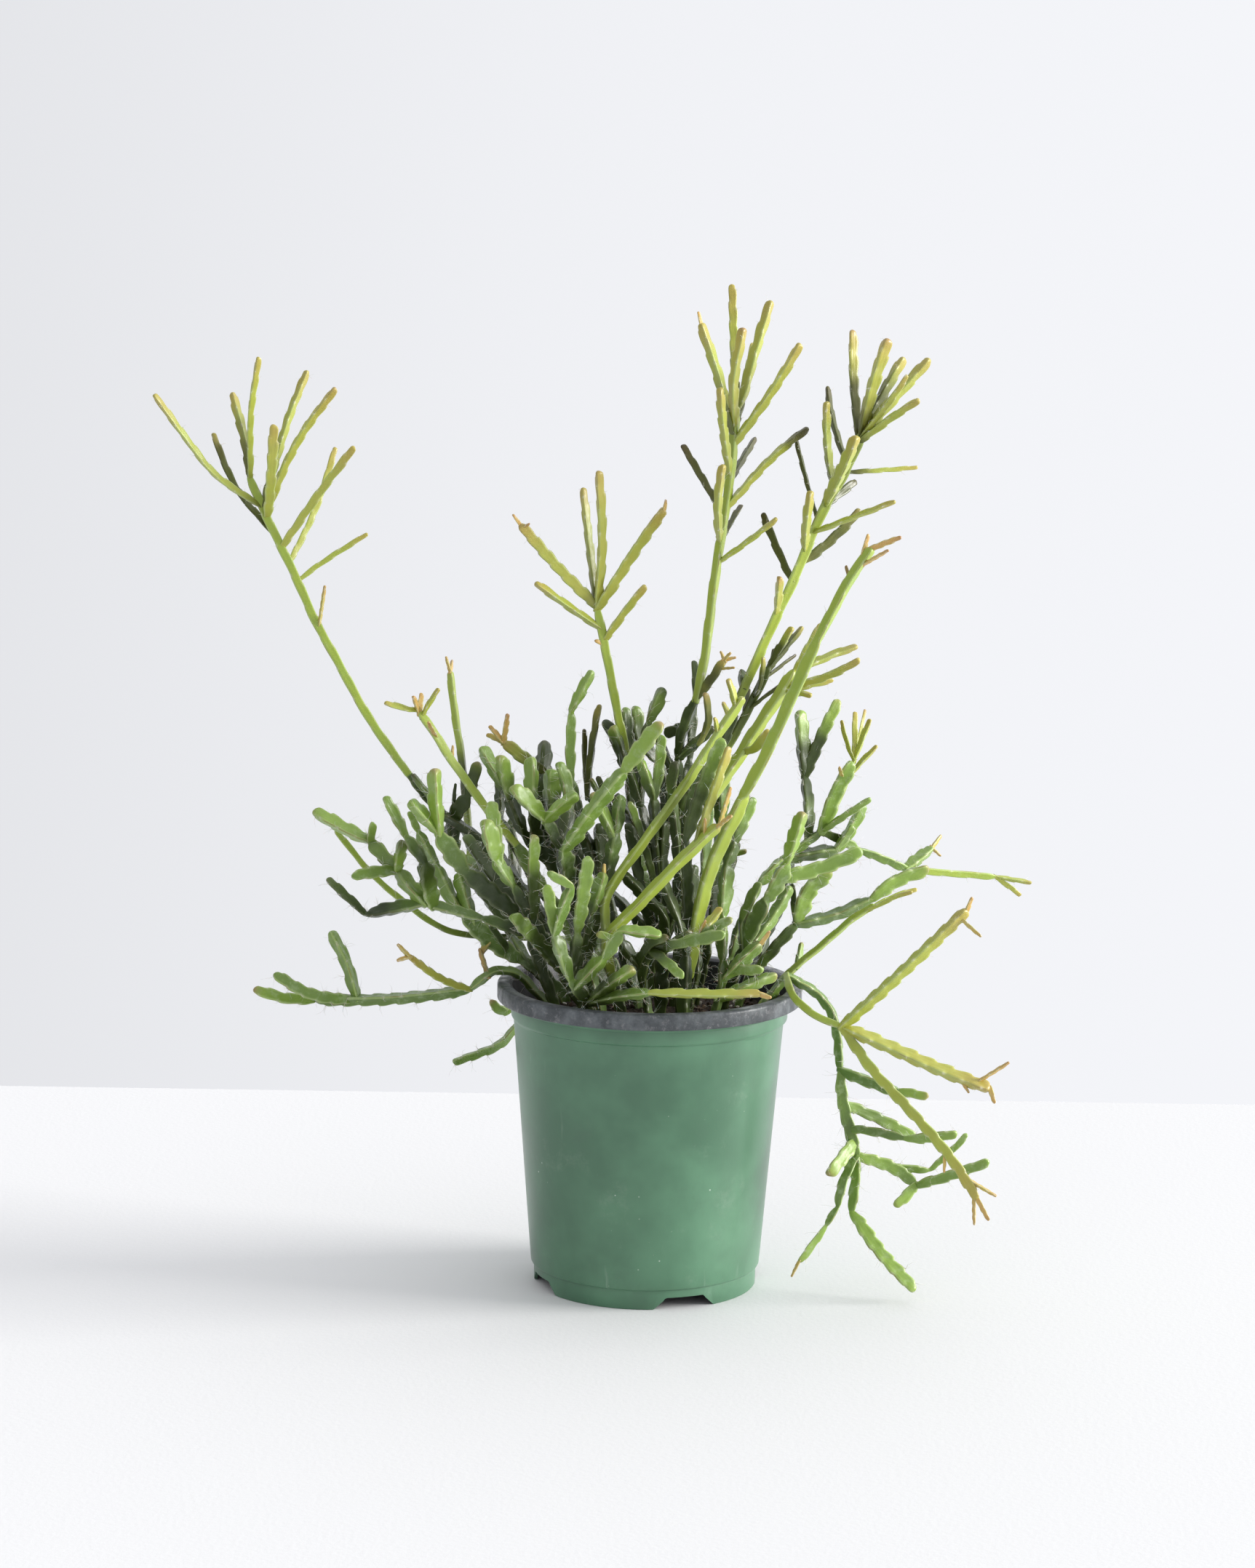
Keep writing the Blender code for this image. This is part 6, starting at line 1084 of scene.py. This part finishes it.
def outline_of_pot():
    """The pot's profile: from the lip's inner edge down the outside, in under the floor and up the inside.

    The small numbers break its edges, as a formed sheet has no sharp ones.
    """
    top, lip, step = POT_HEIGHT, LIP_RADIUS, COLLAR_STEP
    hem = lip - LIP_WALL
    inner_top = COLLAR_RADIUS - WALL
    foot = FOOT_RADIUS - FOOT_TAPER
    outer_lip = arc_points((lip - LIP_ROUND, top - LIP_ROUND), LIP_ROUND, 90, 0)
    hem_edge = arc_points((lip - LIP_ROUND / 2, top - LIP_DROP + LIP_ROUND / 2), LIP_ROUND / 2, 0, -90)
    lip_part = [
        (inner_top + LIP_ROUND, top - 0.2), (inner_top + LIP_ROUND * 2, top), *outer_lip, *hem_edge,
        (hem, top - LIP_DROP + 0.2), (hem, top - LIP_WALL - 0.3), (COLLAR_RADIUS + 0.4, top - LIP_WALL)]
    green_part = [
        (COLLAR_RADIUS, top - LIP_WALL - 0.6), (COLLAR_RADIUS, COLLAR_STEP_HEIGHT + step),
        (COLLAR_RADIUS - 0.2, COLLAR_STEP_HEIGHT + 0.2),
        (COLLAR_RADIUS - step, COLLAR_STEP_HEIGHT - step / 2),
        (COLLAR_RADIUS - step, COLLAR_BOTTOM + step * 1.3),
        (COLLAR_RADIUS - step - 0.15, COLLAR_BOTTOM + 0.6),
        (WALL_TOP_RADIUS + 0.1, COLLAR_BOTTOM), (WALL_TOP_RADIUS - 0.05, COLLAR_BOTTOM - 0.8)]
    for k in range(1, WALL_BANDS):
        share = k / WALL_BANDS
        green_part.append((WALL_TOP_RADIUS + (WALL_FOOT_RADIUS - WALL_TOP_RADIUS) * share,
                           COLLAR_BOTTOM + (FOOT_HEIGHT - COLLAR_BOTTOM) * share))
    green_part += [(WALL_FOOT_RADIUS, FOOT_HEIGHT + 0.3), (WALL_FOOT_RADIUS - 0.25, FOOT_HEIGHT - 0.2),
                   (FOOT_RADIUS, FOOT_HEIGHT - 0.6), (foot + 0.05, 0.4), (foot - 0.3, 0)]
    inside = [
        (foot - WALL, 0), (FOOT_RADIUS - WALL, FLOOR), (0, FLOOR),
        (0, FLOOR + WALL), (FOOT_RADIUS - WALL, FLOOR + WALL), (WALL_FOOT_RADIUS - WALL, FOOT_HEIGHT + WALL),
        (WALL_TOP_RADIUS - WALL, COLLAR_BOTTOM), (COLLAR_RADIUS - step - WALL, COLLAR_STEP_HEIGHT - step),
        (inner_top, top - LIP_ROUND), (inner_top + LIP_ROUND, top - 0.2),
    ]
    return lip_part + green_part + inside, len(lip_part), len(green_part)


def arc_points(centre, radius, start, end, count=5):
    """Points on a round corner, between two angles in degrees."""
    return [(centre[0] + radius * math.cos(a), centre[1] + radius * math.sin(a))
            for a in np.radians(np.linspace(start, end, count))]


def build_pot():
    """The pot: green outside, black on the lip and inside, with the notches cut into its foot."""
    outline, lip_count, green_count = outline_of_pot()
    mesh = bpy.data.meshes.new("pot_shell")
    angles = np.arange(POT_SIDES) * math.tau / POT_SIDES
    verts = [((r + LIP_WAVE * math.sin(3 * a + 1) * (z > COLLAR_BOTTOM)) * math.cos(a), r * math.sin(a), z)
             for r, z in outline[:-1] for a in angles]
    count = len(outline) - 1
    faces, slots = [], []
    for k in range(count):
        for a in range(POT_SIDES):
            b, down = (a + 1) % POT_SIDES, (k + 1) % count
            faces.append((k * POT_SIDES + a, down * POT_SIDES + a, down * POT_SIDES + b, k * POT_SIDES + b))
            green = lip_count <= k + 1 < lip_count + green_count + 1
            slots.append(0 if green else 1 if k + 1 < lip_count else 2)
    mesh.from_pydata((np.array(verts) * MM).tolist(), [], faces)
    mesh.polygons.foreach_set("material_index", slots)
    mesh.materials.append(green_plastic())
    mesh.materials.append(black_plastic())
    mesh.materials.append(plain("black_inside", (0.008, 0.009, 0.011), (0.022, 0.023, 0.027), 0.45))
    pot = put("pot_shell", mesh)
    weld = bmesh.new()
    weld.from_mesh(mesh)
    bmesh.ops.remove_doubles(weld, verts=weld.verts, dist=0.00001)
    bmesh.ops.recalc_face_normals(weld, faces=weld.faces)
    weld.to_mesh(mesh)
    weld.free()
    cutters = bpy.data.collections.new("notches")
    bpy.context.scene.collection.children.link(cutters)
    for k in range(NOTCH_COUNT):
        cutters.objects.link(notch_wedge(NOTCH_FIRST + k * math.tau / NOTCH_COUNT))
    for k in range(DRAIN_COUNT):
        around = (k + 0.5) * math.tau / DRAIN_COUNT
        cutters.objects.link(drain_plug(DRAIN_CIRCLE * math.cos(around), DRAIN_CIRCLE * math.sin(around)))
    cut = pot.modifiers.new("Notches", "BOOLEAN")
    cut.operand_type = "COLLECTION"
    cut.collection = cutters
    settle(pot)
    for cutter in list(cutters.objects):
        bpy.data.objects.remove(cutter)
    bpy.data.collections.remove(cutters)
    pot.data.transform(Matrix.Translation((AXIS.x, AXIS.y, 0)))
    pot.data.shade_smooth()
    pot.data.set_sharp_from_angle(angle=CREASE)
    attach(pot, "root")
    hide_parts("pot")


def settle(obj):
    """Apply an object's modifiers."""
    graph = bpy.context.evaluated_depsgraph_get()
    mesh = bpy.data.meshes.new_from_object(obj.evaluated_get(graph))
    obj.modifiers.clear()
    obj.data = mesh


def notch_wedge(around):
    """A wedge that cuts one foot notch, with rounded upper corners."""
    slope = (NOTCH_BOTTOM - NOTCH_TOP) / 2 / NOTCH_HEIGHT
    low = NOTCH_BOTTOM / 2 + slope * NOTCH_BELOW
    half, r = NOTCH_TOP / 2, NOTCH_ROUND
    right = arc_points((half - r * 0.4, NOTCH_HEIGHT - r), r, 20, 90)
    corners = [(low, -NOTCH_BELOW), *right, *[(-x, z) for x, z in reversed(right)], (-low, -NOTCH_BELOW)]
    mesh = bpy.data.meshes.new("wedge")
    shape = bmesh.new()
    near = [shape.verts.new((x * MM, -NOTCH_CUTTER_DEPTH * MM, z * MM)) for x, z in corners]
    face = shape.faces.new(near)
    pulled = bmesh.ops.extrude_face_region(shape, geom=[face])
    moved = [v for v in pulled["geom"] if isinstance(v, bmesh.types.BMVert)]
    bmesh.ops.translate(shape, verts=moved, vec=(0, NOTCH_CUTTER_DEPTH * MM, 0))
    bmesh.ops.recalc_face_normals(shape, faces=shape.faces)
    shape.to_mesh(mesh)
    shape.free()
    inward = Matrix.Translation((0, -(FOOT_RADIUS - NOTCH_CUTTER_INWARD) * MM, 0))
    mesh.transform(Matrix.Rotation(around, 4, "Z") @ inward)
    return bpy.data.objects.new("wedge", mesh)


def drain_plug(x, y):
    """A round cutter for one drainage hole."""
    mesh = bpy.data.meshes.new("plug")
    shape = bmesh.new()
    bmesh.ops.create_cone(shape, cap_ends=True, segments=DRAIN_SIDES, radius1=DRAIN_RADIUS * MM,
                          radius2=DRAIN_RADIUS * MM, depth=(WALL + 2 * CUTTER_REACH) * MM)
    shape.to_mesh(mesh)
    shape.free()
    mesh.transform(Matrix.Translation((x * MM, y * MM, (FLOOR + WALL / 2) * MM)))
    return bpy.data.objects.new("plug", mesh)


def lumps(x, y):
    """The soil's broad relief, as on the solid."""
    return LUMP_HEIGHT * (0.5 * math.sin(0.31 * x + 0.8) * math.cos(0.27 * y - 0.4)
                          + 0.5 * math.sin(0.17 * x - 0.23 * y + 1.9))


def crumbs(x, y):
    """The soil's fine relief."""
    across, along = 2.9 * x + 1.3 * math.sin(2.1 * y), 3.3 * y + 1.7 * math.sin(1.9 * x)
    return SOIL_CRUMB * math.sin(across) * math.sin(along)


def build_soil(rng):
    """The soil: a crumbly top over a plain body, with bark and grit lying on it."""
    bottom = FLOOR + WALL + SOIL_CLEARANCE
    shoulder = WALL_TOP_RADIUS - WALL - SOIL_CLEARANCE
    foot = WALL_FOOT_RADIUS - WALL - SOIL_CLEARANCE
    radii = np.linspace(0, shoulder, SOIL_BANDS + 1)[1:]
    angles = np.arange(SOIL_SIDES) * math.tau / SOIL_SIDES
    points = []
    for r in radii:
        for a in angles:
            x, y = r * math.cos(a), r * math.sin(a)
            height = SOIL_TOP + lumps(x, y) + crumbs(x, y) + rng.uniform(-SOIL_GRAIN, SOIL_GRAIN)
            edge = max(0, (r - shoulder + SOIL_EDGE_WIDTH) / SOIL_EDGE_WIDTH)**2
            points.append((x, y, height - SOIL_EDGE * edge))
    for r, z in ((foot, FOOT_HEIGHT + 3), (foot - 1.5, bottom)):
        points += [(r * math.cos(a), r * math.sin(a), z) for a in angles]
    rings = np.array(points).reshape(-1, SOIL_SIDES, 3)
    soil = mesh_object("potting_soil", [closed_tube(rings, {})], earth())
    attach(soil, "root")
    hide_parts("soil")
    bark = plain("bark", (0.035, 0.020, 0.012), (0.110, 0.065, 0.038), 0.85)
    grit = plain("grit", (0.42, 0.38, 0.32), (0.70, 0.66, 0.60), 0.8)
    for name, count, low, high, flat, finish in (
            ("bark_crumbs", 420, 0.6, 1.9, 0.5, bark), ("pale_grit", 60, 0.5, 1.2, 0.8, grit)):
        chips = []
        for _ in range(count):
            r, a = (shoulder - CHIP_MARGIN) * math.sqrt(rng.uniform(0, 1)), rng.uniform(0, math.tau)
            x, y = r * math.cos(a), r * math.sin(a)
            centre = (x, y, SOIL_TOP + lumps(x, y) + CHIP_RISE)
            chips.append(chip(centre, rng.uniform(low, high), flat, rng))
        scatter = mesh_object(name, chips, finish)
        scatter.data.set_sharp_from_angle(angle=CHIP_CREASE)
        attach(scatter, "root")


def chip(centre, size, flat, rng):
    """One angular crumb."""
    shape = bmesh.new()
    bmesh.ops.create_icosphere(shape, subdivisions=1, radius=1)
    turn = Matrix.Rotation(rng.uniform(0, math.tau), 3, Vector(rng.normal(0, 1, 3)).normalized())
    stretch = (size, size * rng.uniform(0.45, 0.9), size * flat * rng.uniform(0.5, 1.0))
    points = []
    for v in shape.verts:
        p = [c * s * rng.uniform(0.75, 1.15) for c, s in zip(v.co, stretch)]
        points.append(np.array(turn @ Vector(p)) + centre)
    faces = [[v.index for v in f.verts] for f in shape.faces]
    shape.free()
    return np.array(points), faces, {}


def build_stage():
    """A pale floor that ends behind the plant, a pale room, and a big soft window on the right."""
    mesh = bpy.data.meshes.new("floor")
    x, back, front = FLOOR_SIDE * MM, FLOOR_BACK * MM, FLOOR_FRONT * MM
    left, right = AXIS.x - x, AXIS.x + x
    corners = [(left, front, 0), (right, front, 0), (right, back, 0), (left, back, 0)]
    mesh.from_pydata(corners, [], [(0, 1, 2, 3)])
    floor = put("floor", mesh)
    f = Finish("pale_floor")
    across = grid(f.tree, "SeparateXYZ", {"Vector": f.place}).outputs["X"]
    # Painted light: the floor is lighter on the left, away from the window, and darker on the right, where
    # the window lights it
    painted_light_fade = f.blend(f.ramp(across, -FLOOR_FADE, FLOOR_FADE), (0.780, 0.779, 0.782), (0.728, 0.728, 0.732))
    f.set(Base_Color=f.blend(f.times(f.noise(60, 4), 0.05), painted_light_fade, (0.700, 0.700, 0.700)))
    f.set(Roughness=0.75)
    f.bump(f.noise(500, 3), 0.12, 0.0006)
    mesh.materials.append(f.made)

    world = bpy.data.worlds.new("pale_room")
    bpy.context.scene.world = world
    world.use_nodes = True
    tree = world.node_tree
    direction = tree.nodes.new("ShaderNodeTexCoord").outputs["Generated"]
    way = grid(tree, "SeparateXYZ", {"Vector": direction}).outputs

    def reckon(operation, *values):
        return grid(tree, "Math", dict(enumerate(values)), operation=operation).outputs[0]

    sideways = reckon("MULTIPLY_ADD", way["X"], ROOM_SIDEWAYS, ROOM_MIDDLE)
    lift = fitted(tree, reckon("ABSOLUTE", way["X"]), 0, ROOM_LIFT_REACH, ROOM_LIFT, 0)
    depth = fitted(tree, way["Y"], -ROOM_DEPTH, ROOM_DEPTH, ROOM_FRONT, 1, "LINEAR")
    above = fitted(tree, way["Z"], *ROOM_TOP_RANGE, 1, ROOM_TOP, "LINEAR")
    bright = reckon("MULTIPLY", reckon("MULTIPLY", reckon("ADD", sideways, lift), depth), above)
    sky = tree.nodes["Background"]
    sky.inputs["Color"].default_value = (*ROOM_COLOUR, 1)
    tree.links.new(bright, sky.inputs["Strength"])

    for name, place, aim, width, height, power, colour in LAMPS:
        lamp = bpy.data.lights.new(name, "AREA")
        lamp.shape = "RECTANGLE"
        lamp.size, lamp.size_y, lamp.energy, lamp.color = width, height, power, colour
        obj = put(name, lamp)
        obj.location = place
        obj.rotation_euler = (Vector(aim) - Vector(place)).to_track_quat("-Z", "Y").to_euler()


def build_camera():
    """The photograph's camera."""
    lens = bpy.data.cameras.new("camera")
    lens.sensor_fit = "VERTICAL"
    lens.sensor_height = SENSOR
    lens.lens = FOCAL_SHARE * SENSOR
    camera = put("camera", lens)
    camera.location = (AXIS.x + EYE_RIGHT * MM, AXIS.y - EYE_BACK * MM, EYE_UP * MM)
    turn = Matrix.Rotation(math.pi / 2 - PITCH, 3, "X") @ Matrix.Rotation(ROLL, 3, "Z")
    camera.rotation_euler = turn.to_euler()
    bpy.context.scene.camera = camera


build_camera()
build_stage()
rng = np.random.default_rng(SEED)
segments = grow()
spread(segments)
build_stems(segments, rng)
build_pot()
build_soil(rng)
view = bpy.context.scene.view_settings
view.view_transform = "Standard"
view.look = "None"
